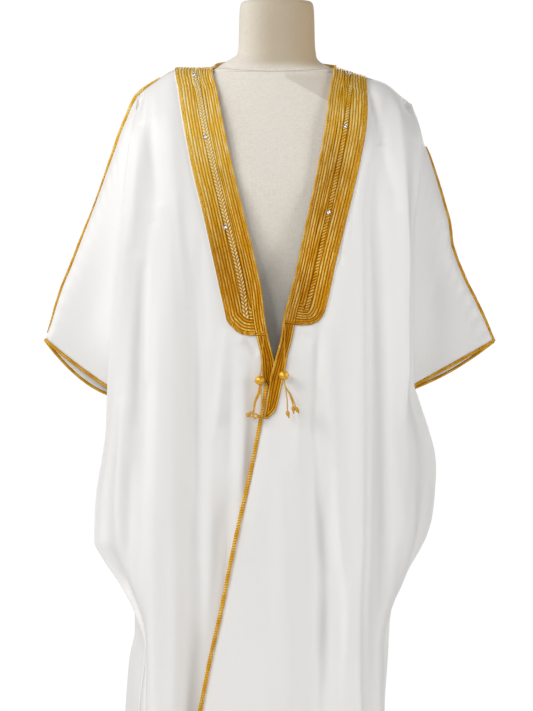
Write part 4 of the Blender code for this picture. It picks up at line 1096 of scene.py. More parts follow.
CREASES_LEFT = (
    (0.152, 1.474, 0.173, 1.37, -8.0, 9), (0.17, 1.379, 0.191, 1.26, -4.0, 10),
    (0.215, 1.453, 0.21, 1.119, 3.2, 9), (0.2, 1.456, 0.204, 1.347, 2.5, 8),
    (0.121, 1.246, 0.108, 1.19, 2.5, 7), (0.112, 1.234, 0.103, 1.171, -3.0, 6),
    (0.036, 1.066, 0.06, 1.05, -3.5, 7), (0.083, 1.089, 0.114, 0.678, 6.6, 11),
    (0.099, 0.841, 0.129, 0.54, 6.2, 13), (0.002, 0.86, 0.02, 0.43, 5.2, 14),
    (0.13, 0.695, 0.109, 0.431, 4.2, 12), (0.07, 1.078, 0.062, 0.89, -3.6, 8),
    (0.059, 0.956, 0.075, 0.695, -4.0, 10), (0.077, 0.793, 0.082, 0.483, -4.0, 11),
    (0.08, 0.63, 0.07, 0.41, -3.6, 10), (0.028, 0.907, 0.016, 0.41, 7.5, 34),
    (-0.007, 0.907, -0.041, 0.695, 3.0, 12), (0.041, 0.956, 0.036, 0.841, 3.0, 9),
    (0.184, 1.119, 0.191, 0.597, 2.6, 9), (0.205, 0.923, 0.202, 0.63, -2.4, 9),
    (0.222, 0.96, 0.231, 0.78, -3.5, 9), (0.2, 0.92, 0.209, 0.719, 3.0, 9),
    (0.24, 0.861, 0.215, 0.69, 3.0, 8), (0.135, 1.119, 0.134, 0.76, 2.5, 9),
    (0.152, 0.695, 0.155, 0.449, -2.2, 9), (0.013, 0.969, 0.034, 0.949, -3.0, 6),
    (0.051, 0.964, 0.024, 0.923, 2.5, 6),
)
right_cloth = creased(right, out_right * front_facing(out_right), CREASES_RIGHT)
left_cloth = creased(left, out_left * front_facing(out_left), CREASES_LEFT)
print("creases:", len(CREASES_RIGHT), "right,", len(CREASES_LEFT), "left")

# %% [markdown]
# Over the shoulders the cloth stands up a little, and on the left one fold bulges sideways over
# the sleeve. Both are smooth bumps added to the finished sheets.

# %% Shoulders and side fold
# Place along the shoulder, height, how far up, width of the rise, depth of the rise.
SHOULDER_RIGHT = (-0.166, 1.49, 0.0062, 0.022, 0.035)
SHOULDER_LEFT = (0.182, 1.465, 0.0075, 0.024, 0.04)


def lifted(grid, x, z, up, wide, deep):
    """Raised by up at height z round the place x along the shoulder, less and less below it."""
    lower = np.minimum(grid[..., 2] - z, 0)
    out = grid.copy()
    out[..., 2] += up * np.exp(-((grid[..., 0] - x) / wide) ** 2 - (lower / deep) ** 2)
    return out


right_cloth = lifted(right_cloth, *SHOULDER_RIGHT)
left_cloth = lifted(left_cloth, *SHOULDER_LEFT)
# The left front's side fold bulges sideways over the sleeve, so its bright crest is at the edge.
crest = np.interp(-left[..., 2], (-1.45, -1.28, -1.2, -0.98), (0.2, 0.203, 0.204, 0.204))
bulge = np.interp(-left[..., 2], (-1.44, -1.28, -1.2, -1.0, -0.9), (0, 0.009, 0.013, 0.013, 0))
aside = left[..., 0] - crest
bulge = bulge * np.exp(-(aside / np.where(aside < 0, 0.024, 0.0095)) ** 2)
bulge = bulge * front_facing(out_left)[..., 0] ** 0.3
left_cloth[..., 0] += bulge
left_cloth[..., 1] -= 0.35 * bulge
front_r = put(cloth_piece("cloth_front_right", right_cloth, False), ["front_right"])
front_l = put(cloth_piece("cloth_front_left", left_cloth, True), ["front_left"])

# %% [markdown]
# The back is one wide piece. Its folds start under the shoulder blades and widen to the hem. The
# photo doesn't show it, so its creases are of the same kind as those of the fronts.

# %% The back
BACK_FINE = np.unique(np.concatenate([np.linspace(0, 0.03, 12), np.linspace(0.03, 0.6, 110),
                                      np.linspace(0.6, 1.4187, 90)]))
rear = form_out(through(back(BACK_FINE), (7,) * 18), CLEAR + 0.0014)
shut(rear, 0)
shut(rear, -1)
out_rear = normals(rear)
CREASES_BACK = (
    (-0.15, 1.4, -0.12, 1.15, 4.0, 14), (-0.06, 1.42, -0.075, 1.1, -4.0, 15),
    (0.03, 1.42, 0.02, 1.05, 3.5, 14), (0.11, 1.4, 0.1, 1.12, -4.0, 14), (0.17, 1.38, 0.165, 1.05, 3.5, 12),
    (-0.18, 1.1, -0.19, 0.7, 4.0, 12), (-0.1, 1.0, -0.095, 0.5, -4.0, 12), (0.0, 0.95, 0.01, 0.4, 4.0, 12),
    (0.09, 1.0, 0.095, 0.45, 4.0, 12), (0.15, 0.9, 0.15, 0.3, -4.0, 12),
    (-0.22, 0.95, -0.215, 0.56, -4.0, 12), (0.195, 1.0, 0.18, 0.6, 4.0, 11),
)
rear_cloth = creased(rear, out_rear * front_facing(out_rear, 1, True), CREASES_BACK)
rear_cloth = lifted(lifted(rear_cloth, *SHOULDER_RIGHT), *SHOULDER_LEFT)
rear_piece = put(cloth_piece("cloth_back", rear_cloth, False), ["back"])

# %% [markdown]
# Each sleeve is a short wing: the folded side of the cloak, open at the cuff. With no arm in it,
# it hangs flat from its top line, the front edge of the cuff a little above the back edge. Soft
# waves and a pucker under the sewn cord are added to the plain rings.

# %% The rings of the sleeves
AROUND = 44  # steps down the front of a sleeve, and as many up its back
SLEEVE_STATIONS = np.linspace(0, 1, 90)
arm_right = sleeve(TOP_RIGHT, SIDE_RIGHT, CUFF_RIGHT, AROUND, SLEEVE_STATIONS)
arm_left = sleeve(TOP_LEFT, SIDE_LEFT, CUFF_LEFT, AROUND, SLEEVE_STATIONS)
share = 0.5 - 0.5 * np.cos(np.pi * np.linspace(0, 1, AROUND + 1))
share = np.concatenate([share, share[-2:0:-1]])
station = SLEEVE_STATIONS[:, None]
pucker = np.exp(-(share / 0.1) ** 2) * np.clip(share / 0.02, 0, 1)
pucker = pucker * np.sin(station * 95) * np.clip(station * 6, 0, 1)
soft = np.sin(np.pi * share) * (np.sin(station * 9 + 7 * share) * 0.6 + np.sin(station * 4.3 - 5 * share + 1))
# Beside the armhole the sleeve lies a little behind the cloak's side fold.
behind = np.exp(-(station / 0.14) ** 2) * np.clip(station / 0.045, 0, 1)
behind = behind * np.clip(share / 0.06, 0, 1) * (share < 0.5) * np.clip((0.5 - share) / 0.06, 0, 1)
arm_right[..., 1] += 0.0075 * behind
arm_left[..., 1] += 0.006 * behind
# Its first rings close up to the armhole's edge.
nearer = np.exp(-(station / 0.03) ** 2)
arm_right[..., 0] += 0.0023 * nearer
arm_left[..., 0] -= 0.0023 * nearer
arm_left[..., 2] += 0.002 * nearer * (arm_left[0, :, 2] > 1.4)
arm_right[..., 1] += pucker * 0.0009 + soft * 0.0022 * np.sin(np.pi * station)
arm_left[..., 1] += pucker * 0.002 + soft * 0.0024 * np.sin(np.pi * station)
print("sleeves:", arm_right.shape, arm_left.shape)

# %% [markdown]
# A sleeve is sewn on under the cloak's edge. One more ring inside the armhole is the allowance
# of that seam, and shuts out the light.

# %% The sleeves sewn on
def tucked(arm, sign):
    """One more ring, inside the armhole, so that no light shows between sleeve and cloak."""
    first = arm[0].copy()
    middle = first.mean(0)
    first = middle + (first - middle) * np.array((1, 0.93, 0.985))
    first[:, 0] = arm[0, :, 0] - sign * 0.0045
    return np.concatenate([first[None], arm])


arm_right_in = tucked(arm_right, -1)
arm_left_in = tucked(arm_left, 1)
sleeve_r = put(cloth_piece("cloth_sleeve_right", arm_right_in.transpose(1, 0, 2), True, ring=True),
               ["sleeve_right"])
sleeve_l = put(cloth_piece("cloth_sleeve_left", arm_left_in.transpose(1, 0, 2), False, ring=True),
               ["sleeve_left"])

# %% [markdown]
# ## The dress form
# Papier-mache or foam under sewn linen, on a pole and a round base. Ovals at the heights of the
# table are lofted finely: each ring is joined to the next one, and the ends are capped.

# %% Lofts
def loft_piece(name, rings, finish, uv=None, rib=None, caps=True, flip=False):
    """Rings (ring, point, xyz) joined in order, closed round and capped at both ends."""
    rings = np.asarray(rings)
    count, n = rings.shape[:2]
    quads = grid_quads(n, count, ring=True, flip=flip)
    ends = ()
    if caps:
        first = np.arange(n) * count
        ends = (first, (first + count - 1)[::-1])
        ends = tuple(end[::-1] for end in ends) if flip else ends
    return mesh_piece(name, rings.transpose(1, 0, 2), quads, finish, uv, rib, ends)


def round_angles(count):
    """Angles of this many points round a circle."""
    return np.arange(count) / count * 2 * np.pi


around = round_angles(128)
print("points in a ring of the form:", len(around))

# %% [markdown]
# The torso is one loft from its underside up to the seam below the neck.

# %% The torso
SEAM_Z = 1.4925  # height of the seam between torso and neck
heights = np.concatenate([np.linspace(FORM_BASE, 1.36, 60), np.linspace(1.365, SEAM_Z, 60)])
torso = np.array([oval(along(FORM, 1, z), along(FORM, 2, z), 0, along(FORM, 3, z), z, along(FORM, 4, z),
                       around) for z in heights])
put(loft_piece("form_torso_linen", torso, LINEN_CLOTH, flip=True), ["form_torso"])

# %% [markdown]
# The neck's linen runs on over the shoulders down to the seam. Its foot is wider in front than
# the table's ovals, so a second table widens the front half of each ring.

# %% The neck
NECK_LINEN = tuple((z, float(along(FORM, 1, z)), float(along(FORM, 2, z)), float(along(FORM, 3, z)))
                   for z in (SEAM_Z, 1.4943, 1.4957)) + NECK[1:]
# Height, and how many times as wide the front half is to the right and to the left.
NECK_SLOPE = ((SEAM_Z, 1.0, 1.0), (1.4965, 1.09, 1.07), (1.5, 1.18, 1.12), (1.5055, 1.27, 1.1),
              (1.511, 1.23, 1.04), (1.5165, 1.11, 1.0), (1.522, 1.02, 1.0), (1.53, 1.0, 1.0),
              (NECK_TOP, 1.0, 1.0))


def neck_oval(z, turn):
    """The neck's ring at a height, widened by the slope table in front."""
    shift = NECK_X * np.clip((z - SEAM_Z) / 0.01, 0, 1)
    ring = oval(along(NECK_LINEN, 1, z), along(NECK_LINEN, 2, z), shift, along(NECK_LINEN, 3, z), z,
                2.0, turn)
    away = ring[:, 0] - shift
    more = np.where(away < 0, float(along(NECK_SLOPE, 1, z)), float(along(NECK_SLOPE, 2, z))) - 1
    ring[:, 0] += away * more * np.clip(-ring[:, 1] * 8 + 1.1, 0, 1)
    return ring


neck_z = np.concatenate([np.linspace(SEAM_Z, 1.512, 40), np.linspace(1.514, 1.6, 36),
                         np.linspace(1.601, NECK_TOP, 18)])
neck = np.array([neck_oval(z, around) for z in neck_z])
put(loft_piece("form_neck_linen", neck, LINEN_CLOTH, flip=True), ["form_neck"])
# The thread of the seam between neck and torso dips in front, between the bands.
angle = np.linspace(0, 2 * np.pi, 160, endpoint=False)
seam_z = 1.4921 + 0.0082 * np.abs(np.cos(angle)) ** 1.7
seam_line = np.array([neck_oval(max(z, SEAM_Z), np.array([t]))[0] for z, t in zip(seam_z, angle)])
seam_line[:, 2] = seam_z
print("seam:", round(float(seam_z.min()), 4), "to", round(float(seam_z.max()), 4), "m up")

# %% [markdown]
# Pole and base are turned parts. The photo's lower edge and the cloth hide them, so they are the
# plain ones that such a form stands on, with a rounded rim.

# %% Pole and base
STAND = Finish("stand_paint", Base_Color=(0.075, 0.075, 0.08), Metallic=0.6, Roughness=0.38).material
round_ = round_angles(64)
pole_z = np.linspace(BASE_T + SEAM, FORM_BASE - SEAM, 8)
pole = np.array([oval(POLE_R, POLE_R, 0, 0.004, z, 2, round_) for z in pole_z])
put(loft_piece("pole", pole, STAND, flip=True), ["stand_pole"])
# Height over the floor, and how far the rim is inside the full radius there.
BASE_RIM = ((0, 0.002), (0.001, 0.0005), (0.003, 0), (BASE_T - 0.008, 0), (BASE_T - 0.004, 0.0015),
            (BASE_T - 0.002, 0.004), (BASE_T - 0.0005, 0.008), (BASE_T, 0.012))
base = np.array([oval(BASE_R - inside, BASE_R - inside, 0, 0, z, 2, around) for z, inside in BASE_RIM])
put(loft_piece("base_disc", base, STAND, flip=True), ["stand_base"])

# %% [markdown]
# ## The gold bands
# Each band is gold thread couched down in close ribs, with a plait of slanted stitches down its
# middle. The ribs follow the edge: at the rounded lower corner they turn in arcs. So a rib's
# height is a wave of the distance to the band's outline, and needs no line of its own.

# %% Points on the strip
def strip_points(grid, facing, share, down, off):
    """Points on a front's strip beside its edge: share 0 to 1 across, rows down, moved out."""
    def sample(field):
        """The grid's values between its points, by straight lines both ways."""
        c = np.clip(share, 0, 1) * 4 * STEPS
        i = np.minimum(c.astype(int), 4 * STEPS - 1)
        r = np.clip(down, 0, field.shape[1] - 1.001)
        j = r.astype(int)
        u = (c - i)[..., None]
        v = (r - j)[..., None]
        return ((field[i, j] * (1 - u) + field[i + 1, j] * u) * (1 - v)
                + (field[i, j + 1] * (1 - u) + field[i + 1, j + 1] * u) * v)
    return sample(grid) + unit(sample(facing)) * np.asarray(off)[..., None]


def to_line(a, b, line_a, line_b):
    """Distance from points (a, b) to a line of points."""
    out = np.full(a.shape, 1e9)
    for p, q, r, s in zip(line_a[:-1], line_b[:-1], line_a[1:], line_b[1:]):
        da, db = r - p, s - q
        t = np.clip(((a - p) * da + (b - q) * db) / max(da * da + db * db, 1e-12), 0, 1)
        out = np.minimum(out, (a - p - t * da) ** 2 + (b - q - t * db) ** 2)
    return np.sqrt(out)


def rough(a, b, seed):
    """Uneven tufts between -1 and 1: sines of two directions, each bent by another."""
    one = np.sin(a * 2300 + 2.1 * np.sin(b * 730 + seed))
    other = np.sin(b * 1250 + 1.7 * np.sin(a * 900 - b * 190 + seed))
    return one * other * 0.6 + 0.4 * np.sin(b * 2900 + a * 1700 + 3 * np.sin(b * 410 + seed))


def ridge_wave(distance, pitch):
    """Round ribs side by side: |sin| to the power 0.7."""
    return np.abs(np.sin(np.pi * distance / pitch)) ** 0.7


print("height of a rib beside its top:", round(float(ridge_wave(0.4, 1.0)), 3))

# %% [markdown]
# A band is a closed ribbon with a raised face. Its height at a point is a formula of three
# measures: distance a from the cloak's edge, length l along it, and distance d from the band's
# own outline.

# %% A ribbon on the strip
UNDER = 9  # points across the underside


def ribbon(name, sheet, facing, widths, heights, cols, field, flip, finish):
    """A closed ribbon on the strip, its outer points raised by field(a, l, d, long)."""
    down = row_at(sheet, heights)
    wide = along(widths, 1, heights)
    share = np.linspace(0, 1, cols)
    across = wide[:, None] * share
    down_grid = down[:, None] + 0 * across
    flat = strip_points(sheet, facing, across, down_grid, LIFT + 0 * across)
    edge = flat[:, 0]
    way = unit(np.gradient(edge, axis=0))
    run = run_of(edge)
    off = flat - edge[:, None]
    past = np.einsum("rck,rk->rc", off, way)
    a = np.linalg.norm(off - past[..., None] * way[:, None], axis=-1)
    l = run[:, None] + past
    line_a = np.concatenate([a[::6, -1], a[-1:, -1], a[-1, ::-4], a[-1:, 0]])
    line_l = np.concatenate([l[::6, -1], l[-1:, -1], l[-1, ::-4], l[-1:, 0]])
    d = to_line(a, l, line_a, line_l)
    rise, rib = field(a, l, d, l.max())
    outer = strip_points(sheet, facing, across, down_grid, LIFT + BAND + rise)
    plain = np.zeros((len(down), UNDER))
    under = strip_points(sheet, facing, wide[:, None] * np.linspace(1, 0, UNDER),
                         down[:, None] + plain, LIFT + plain)
    rings = np.concatenate([outer, under], axis=1)
    ribs = np.concatenate([rib, plain], axis=1)
    uv = np.stack([np.concatenate([a, plain], axis=1), np.concatenate([l, plain], axis=1)], -1)
    return loft_piece(name, rings, finish, uv.transpose(1, 0, 2), ribs.T, flip=flip)


print("a ribbon's underside is", LIFT * 1000, "mm off the cloth")

# %% [markdown]
# Along the cloak's edge the ribs run straight, and outside them in arcs. A plait of slanted
# stitches covers the middle, in two rows on the right band and one on the left. The rim is
# tufted where the thread turns back.

# %% The band's ribs, rim and plait
RIM = 0.0058  # width of the tufted rim, where the arcs start
ARC = 0.0046  # pitch of the arcs
FIRST = 0.0026  # from the cloak's edge to the first straight rib
STRAIGHT = 0.0043  # pitch of the straight ribs


def stitch(phase):
    """0 to 1 through each stitch of a row, from a phase in stitches."""
    return phase - np.floor(phase)


def band_field(braid, pitch, slant, rows, seed, strip_wide=0.019, turned=0.026):
    """Ribs along the inner strip, arcs outside it, tufts at the rim and the plait in the middle."""
    low, high = braid
    middle = 0.5 * (low + high)
    half = 0.5 * (high - low)

    def field(a, l, d, long):
        """How far the face is raised, and the rib's tone there."""
        arcs = ridge_wave(d - RIM, ARC)
        inner = ridge_wave(a - FIRST, STRAIGHT)
        in_strip = a < strip_wide
        ribs = np.where(in_strip, inner, arcs)
        groove = np.exp(-((a - strip_wide) / 0.0007) ** 2)
        thread = 0.1 * np.sin(l * 3300 + 9 * a) * np.sin(a * 900 + l * 70)
        which = np.where(in_strip, 40 + np.floor((a - FIRST) / STRAIGHT), np.floor((d - RIM) / ARC))
        uneven = np.sin(l * 47 + which * 2.3) * np.sin(l * 131 + which)
        tone = 1 + 0.13 * np.sin(which * 5.3 + seed) + 0.12 * uneven
        ribs = ribs * (0.9 + 0.1 * np.sin(l * 90 + which * 4))
        rise = 0.0015 * ribs + 0.0001 * thread
        tint = ribs * tone + thread
        rim = np.clip((0.0062 - d) / 0.0008, 0, 1)
        tuft = rough(d, l, seed)
        rise = rise * (1 - rim) + rim * (0.0011 + 0.00042 * tuft)
        tint = tint * (1 - rim) + rim * (0.62 + 0.52 * tuft)
        # The groove between ribs and arcs gets a lower tone: painted shade and tarnish in the recess.
        rise = rise - groove * 0.0007
        tint = tint - groove * 0.5
        u = (a - middle) / half
        inside = (np.abs(u) < 1.06) & (d > turned) & (l > 0.009)
        if rows == 2:
            share = stitch((l * (1.28 - 0.14 * l / long) + np.abs(u) * slant) / pitch + 0.5 * (u > 0))
            body = np.sin(np.pi * share) ** 0.75 * np.clip(1 - (2 * np.abs(u) - 1) ** 4, 0, 1) ** 0.5
            side = 1.0
        else:
            share = stitch((l + u * slant) / pitch)
            body = np.sin(np.pi * share) ** 0.7 * np.clip(1 - u ** 4, 0, 1) ** 0.5
            side = 0.74 + 0.12 * np.sin(l * 160) * np.sin(l * 57 + 1)
        frame = np.exp(-((np.abs(u) - 1.08) / 0.1) ** 2) * (d > turned - 0.001) * (l > 0.008)
        # The frame round the plait is recessed and gets a lower tone: painted shade and tarnish.
        rise = np.where(inside, 0.0003 + 0.0015 * body, rise) - 0.0006 * frame
        tint = np.where(inside, -0.1 + side * 1.5 * body, tint) - 0.6 * frame
        ends = np.clip(np.minimum(d, a) / 0.0009, 0, 1) ** 0.5
        return rise * ends, np.clip(tint, 0, 1.45)

    return field


print("ribs:", ARC * 1000, "mm apart in the arcs,", STRAIGHT * 1000, "mm apart along the edge")

# %% [markdown]
# A tab goes on from the band's lower end, narrower and in finer ribs, with a bar of stitches
# across its top and a knotted lower end.

# %% The tab's ribs
TAB_RIB = 0.0038  # pitch of a tab's ribs


def tab_field(seed, bar):
    """Fine ribs that turn round the lower end, brighter at the edges, and a stitched bar on top."""
    def field(a, l, d, long):
        """How far the face is raised, and the rib's tone there."""
        near = np.minimum(d, a)
        ribs = ridge_wave(near, TAB_RIB)
        thread = 0.12 * np.sin(l * 3300 + 9 * a) * np.sin(a * 900 + l * 70) + 0.1 * rough(a, l, seed)
        tint = ribs * (0.62 + 0.5 * np.exp(-(near / 0.0035) ** 2)) + thread
        rise = 0.001 * ribs + 0.0001 * thread
        stitched = np.exp(-((l - bar) / 0.0016) ** 2)
        rise = rise + stitched * 0.0007 * (0.7 + 0.3 * np.sin(a * 5200))
        tint = tint + stitched * 0.4 * np.sin(a * 5200)
        knot = np.clip((0.006 - d) / 0.003, 0, 1) * (l > long - 0.012)
        rise = rise + knot * 0.0006 * rough(a, l, seed + 2)
        ends = np.clip(near / 0.0008, 0, 1) ** 0.5
        return rise * ends, np.clip(tint, 0, 1.3)

    return field


print("tab ribs:", TAB_RIB * 1000, "mm apart")

# %% [markdown]
# Bands and tabs are made by one function, each on its own front. Their rows lie closest at the
# rounded corners.

# %% Bands and tabs
FRONTS = {"right": (right_cloth, out_right), "left": (left_cloth, out_left)}


def even(high, low, step, fine_from=None, fine=0.0005):
    """Heights from high to low at an even step, closer together under fine_from."""
    if fine_from is None:
        return np.linspace(high, low, int((high - low) / step) + 2)
    upper = np.linspace(high, fine_from, int((high - fine_from) / step) + 2)
    return np.concatenate([upper[:-1], np.linspace(fine_from, low, int((fine_from - low) / fine) + 2)])


def gold(piece, *nodes):
    """A piece of gold thread put in its place, for these solids."""
    return put(piece, nodes)


def trim(kind, side, widths, heights, cols, field):
    """A band or a tab on its front."""
    sheet, facing = FRONTS[side]
    made = ribbon(f"{kind}_{side}_zari", sheet, facing, widths, heights, cols, field, side == "left",
                  GOLD_BAND)
    gold(made, f"{kind}_{side}")


trim("band", "right", BAND_RIGHT, even(right[0, 0, 2], 1.0605, 0.0009, 1.096), 104,
     band_field((0.0252, 0.0352), 0.0066, 0.0052, 2, 1.0))
trim("band", "left", BAND_LEFT, even(left[0, 0, 2], 1.0792, 0.0009, 1.114), 104,
     band_field((0.029, 0.0362), 0.0052, 0.0028, 1, 4.0))
trim("tab", "right", TAB_RIGHT, even(1.0601, 0.968, 0.0007), 52, tab_field(2.0, 0.003))
trim("tab", "left", TAB_LEFT, even(1.0786, 0.9262, 0.0007), 52, tab_field(5.0, 0.003))

# %% [markdown]
# Small silver sequins are sewn over the plait in clusters of four. A sequin is a pressed cup with
# a hole: a short profile turned round its own axis.

# %% Sequins
SILVER = Finish("silver", Base_Color=(0.82, 0.82, 0.82), Metallic=1.0, Roughness=0.22).material
# Middles of the clusters, in pixels across and down the photo.
SEQUINS = {"right": ((194, 74), (205, 138), (225, 228)), "left": ((349, 72), (345, 127), (328, 213))}
CLUSTER = ((-0.002, 0.0003), (0.0018, -0.0005), (0.0002, 0.0024), (-0.0003, -0.0026))
PIXEL = 0.00163  # one pixel of the photo at the cloak
# The cup's profile: radius, and how deep it is there.
CUP = np.array(((0.0004, 0.0), (0.0017, 0.0003), (0.0017, 0.0006), (0.0011, 0.0003), (0.0004, 0.0003)))


def on_strip(sheet, facing, x, z, off):
    """The point of the strip that lies at x and z as seen from the front, moved out."""
    share = np.linspace(0, 1, 400)
    aim = z
    for _ in range(3):
        line = strip_points(sheet, facing, share, row_at(sheet, aim) + 0 * share, off + 0 * share)
        found = line[np.argmin(np.abs(line[:, 0] - x))]
        aim = aim + z - found[2]
    return found


turn = round_angles(14)
for side, (sheet, facing) in FRONTS.items():
    points, quads, ends = [], [], []
    for number, (px, pz) in enumerate(SEQUINS[side]):
        for k, (dx, dz) in enumerate(CLUSTER):
            x = (px - 275) * PIXEL + dx
            z = 1.5 - (pz - 66) * PIXEL + dz
            middle = on_strip(sheet, facing, x, z, 0.0052)
            tilt = np.array((0.25 * np.sin(3 * k + number), 0.25 * np.cos(5 * k + number)))
            flat = np.stack([CUP[:, :1] * np.cos(turn), CUP[:, 1:] + 0 * turn, CUP[:, :1] * np.sin(turn)], -1)
            flat[..., 1] = -flat[..., 1] + flat[..., 0] * tilt[0] + flat[..., 2] * tilt[1]
            start = sum(len(p) for p in points)
            points.append((flat + middle).transpose(1, 0, 2).reshape(-1, 3))
            quads.append(grid_quads(14, len(CUP), ring=True, flip=True) + start)
            first = np.arange(14) * len(CUP) + start
            ends += [first[::-1], first + len(CUP) - 1]
    gold(mesh_piece("sequins_" + side, np.concatenate(points), np.concatenate(quads), SILVER, extra=ends))

# %% [markdown]
# ## Gold cords
# The edges are bound with cord of two or three twisted strands: along the bands' inner edges, down
# both fronts, round the neck, over the sleeves and round the cuffs. A ring's radius is a wave of
# the angle that turns with the length. Tubes wound round each other look the same at this size
# and take three times the points.

# %% Smooth paths
def smooth_path(path, step, closed=False):
    """Points at an even step along a smooth line through the given points."""
    path = np.asarray(path, float)
    if closed:
        path = np.concatenate([path[-3:], path, path[:3]])
    run = run_of(path)
    first = run[3] if closed else run[0]
    last = run[-3] if closed else run[-1]
    count = max(int(round((last - first) / step)), 4)
    at = np.linspace(first, last, count + 1)
    if closed:
        at = at[:-1]
    return np.stack([along(np.stack([run, path[:, k]], -1), 1, at) for k in range(3)], -1)


print("10 mm of path:", len(smooth_path(((0, 0, 0), (0, 0, 0.01)), 0.001)), "points")

# %% [markdown]
# A rope is a loft along such a path. Each ring stands square to the path, and its lobes, one for
# each strand, turn a little further from ring to ring.

# %% A twisted rope
def rope(name, path, radius, finish, pitch=0.0072, strands=3, groove=0.24, sides=12, step=0.00075,
         closed=False, uneven=0.05):
    """Radius R (1 - g + g |cos(n/2 (angle - turns))|), a little uneven along the length."""
    path = smooth_path(path, step, closed)
    count = len(path)
    if closed:
        tangent = np.roll(path, -1, 0) - np.roll(path, 1, 0)
        total = np.linalg.norm(tangent, axis=1).sum() / 2
        pitch = total / max(round(total / pitch), 1)
    else:
        tangent = np.gradient(path, axis=0)
    tangent = unit(tangent)
    side = unit(np.cross(tangent, np.cross((0.13, -1.0, 0.21), tangent)))
    other = np.cross(tangent, side)
    run = np.arange(count) * step
    if closed:
        run = np.arange(count) / count * total
    angle = round_angles(sides)
    lobe = np.abs(np.cos(strands / 2 * (angle - 2 * np.pi * run[:, None] / pitch)))
    radii = np.atleast_1d(radius)
    size = np.interp(np.linspace(0, 1, count), np.linspace(0, 1, len(radii)), radii)
    size = size * (1 + uneven * np.sin(run * 310) * np.sin(run * 127 + 2) * (0 if closed else 1))
    size = size[:, None] * (1 - groove + groove * lobe ** 0.8)
    rings = path[:, None] + size[..., None] * (
        side[:, None] * np.cos(angle)[:, None] + other[:, None] * np.sin(angle)[:, None])
    uv = np.stack(np.broadcast_arrays(angle[None] * 0.0024, run[:, None]), -1)
    rib = lobe * (0.85 + 0.18 * np.sin(run * 173)[:, None])
    if closed:
        quads = grid_quads(count, sides, ring=True)
        a = np.arange(count) * sides + sides - 1
        b = np.roll(a, -1)
        quads = np.concatenate([quads, np.stack([a, b, b + 1 - sides, a + 1 - sides], -1)])
        return mesh_piece(name, rings, quads[:, ::-1], finish, uv, rib)
    return loft_piece(name, rings, finish, uv.transpose(1, 0, 2), rib.T)


print("a cord's strands go once round in 7.2 mm")

# %% [markdown]
# Each band and tab has a thin cord of two strands along its inner edge. Below the tabs a thicker
# cord binds the front edge itself down to the hem.

# %% Cords down the fronts
# Lower end of the band's cord, and its radius from top to bottom.
BAND_CORDS = {"right": (0.99, (0.0019, 0.0019, 0.0019, 0.0018, 0.0013)),
              "left": (0.986, (0.002, 0.002, 0.002, 0.0021, 0.0024))}


def beside_band(sheet, facing, heights, share, off):
    """A line on the front's strip at these shares of its width, this far out."""
    none = 0 * heights
    return strip_points(sheet, facing, share + none, row_at(sheet, heights), off + none)


for side, (low, radii) in BAND_CORDS.items():
    sheet, facing = FRONTS[side]
    line = beside_band(sheet, facing, np.linspace(sheet[0, 0, 2] - 0.001, low, 60), 0.022,
                       LIFT + BAND + 0.0012)
    gold(rope("band_cord_" + side, line, radii, GOLD_EDGE, 0.0056, 2, 0.3))
path = along_edge(left_cloth, 0, 1, EDGE_CORD + 0.0003, 0.984, 0)
gold(rope("edge_cord_left_gold", path, EDGE_CORD, GOLD_EDGE, 0.0085, 2, 0.2), "edge_cord_left")
path = along_edge(right_cloth, 0, 1, CORD + 0.0001, 0.96, 0)
gold(rope("edge_cord_right_gold", path, CORD, GOLD_CORD, step=0.0011, sides=10), "edge_cord_right")

# %% [markdown]
# Over the right shoulder the cord lies on the seam, then along the fold of the sleeve. On the left
# it only shows on the sleeve. Its path is read from their own points.

# %% Cords over shoulders and sleeves
# Radius along each cord, from the neck or the shoulder to the sleeve's tip.
THICK_RIGHT = (0.0016, 0.003, 0.0034, 0.0034, 0.0028, 0.0017, 0.0015, 0.0025, 0.0028, 0.0026,
               0.0023, 0.0009)
THICK_LEFT = (0.0012, 0.0024, 0.0032, 0.0031, 0.0034, 0.0034, 0.0036, 0.0035, 0.0033, 0.0024)


def square_to(path, sign):
    """At each point, which way is square to the path and outward, seen from the front."""
    way = np.gradient(path, axis=0)
    return unit(np.stack([-way[:, 2] * sign, 0 * way[:, 0], way[:, 0] * sign], -1))


for name, sheet, arm, sign, thick in (("shoulder_cord_right", right, arm_right, -1, THICK_RIGHT),
                                      ("shoulder_cord_left", left, arm_left, 1, THICK_LEFT)):
    seam = sheet[4 * STEPS:-6:8, 0]
    seam = seam + square_to(seam, sign) * 0.0015 + np.array((0, 0.0012, 0))
    seam = seam[np.abs(seam[:, 0]) > abs(sheet[4 * STEPS, 0, 0]) + 0.012]
    seam[0] += (0, 0.001, -0.0035)
    corner = arm[0, 0] + np.array((sign * 0.62, 0.0, 0.78)) * 0.0022
    line = arm[7::4, 0]
    line = line + square_to(line, sign) * 0.0014
    if sign < 0:
        path = np.concatenate([seam[:-1], corner[None], line])
    else:
        path = np.concatenate([line[line[:, 2] < 1.387], arm[-1:, 0] + np.array((0.0034, -0.0008, -0.0018))])
    gold(rope(name + "_gold", path, thick, GOLD_EDGE), name)

# %% [markdown]
# Behind the neck the cord follows the back's top edge. Round each cuff it is a closed ring, just
# past the sleeve's last points.

# %% Cords round neck and cuffs
row = rear[:, 0]
keep = (row[:, 0] > right[0, 0, 0] + 0.004) & (row[:, 0] < left[0, 0, 0] - 0.004)
path = row[keep][::3] + np.array((0, -0.0004, 0.0012))
path = np.concatenate([right[:1, 0] + (0.001, -0.001, 0.001), path, left[:1, 0] + (-0.001, 0, 0.001)])
gold(rope("neck_cord_gold", path, CORD, GOLD_EDGE), "neck_cord")
for name, arm in (("cuff_cord_right", arm_right), ("cuff_cord_left", arm_left)):
    path = (arm[-1] + unit(arm[-1] - arm[-2]) * (CUFF_CORD + 0.0007))[::2]
    gold(rope(name + "_gold", path, 0.0027, GOLD_EDGE, closed=True), name)

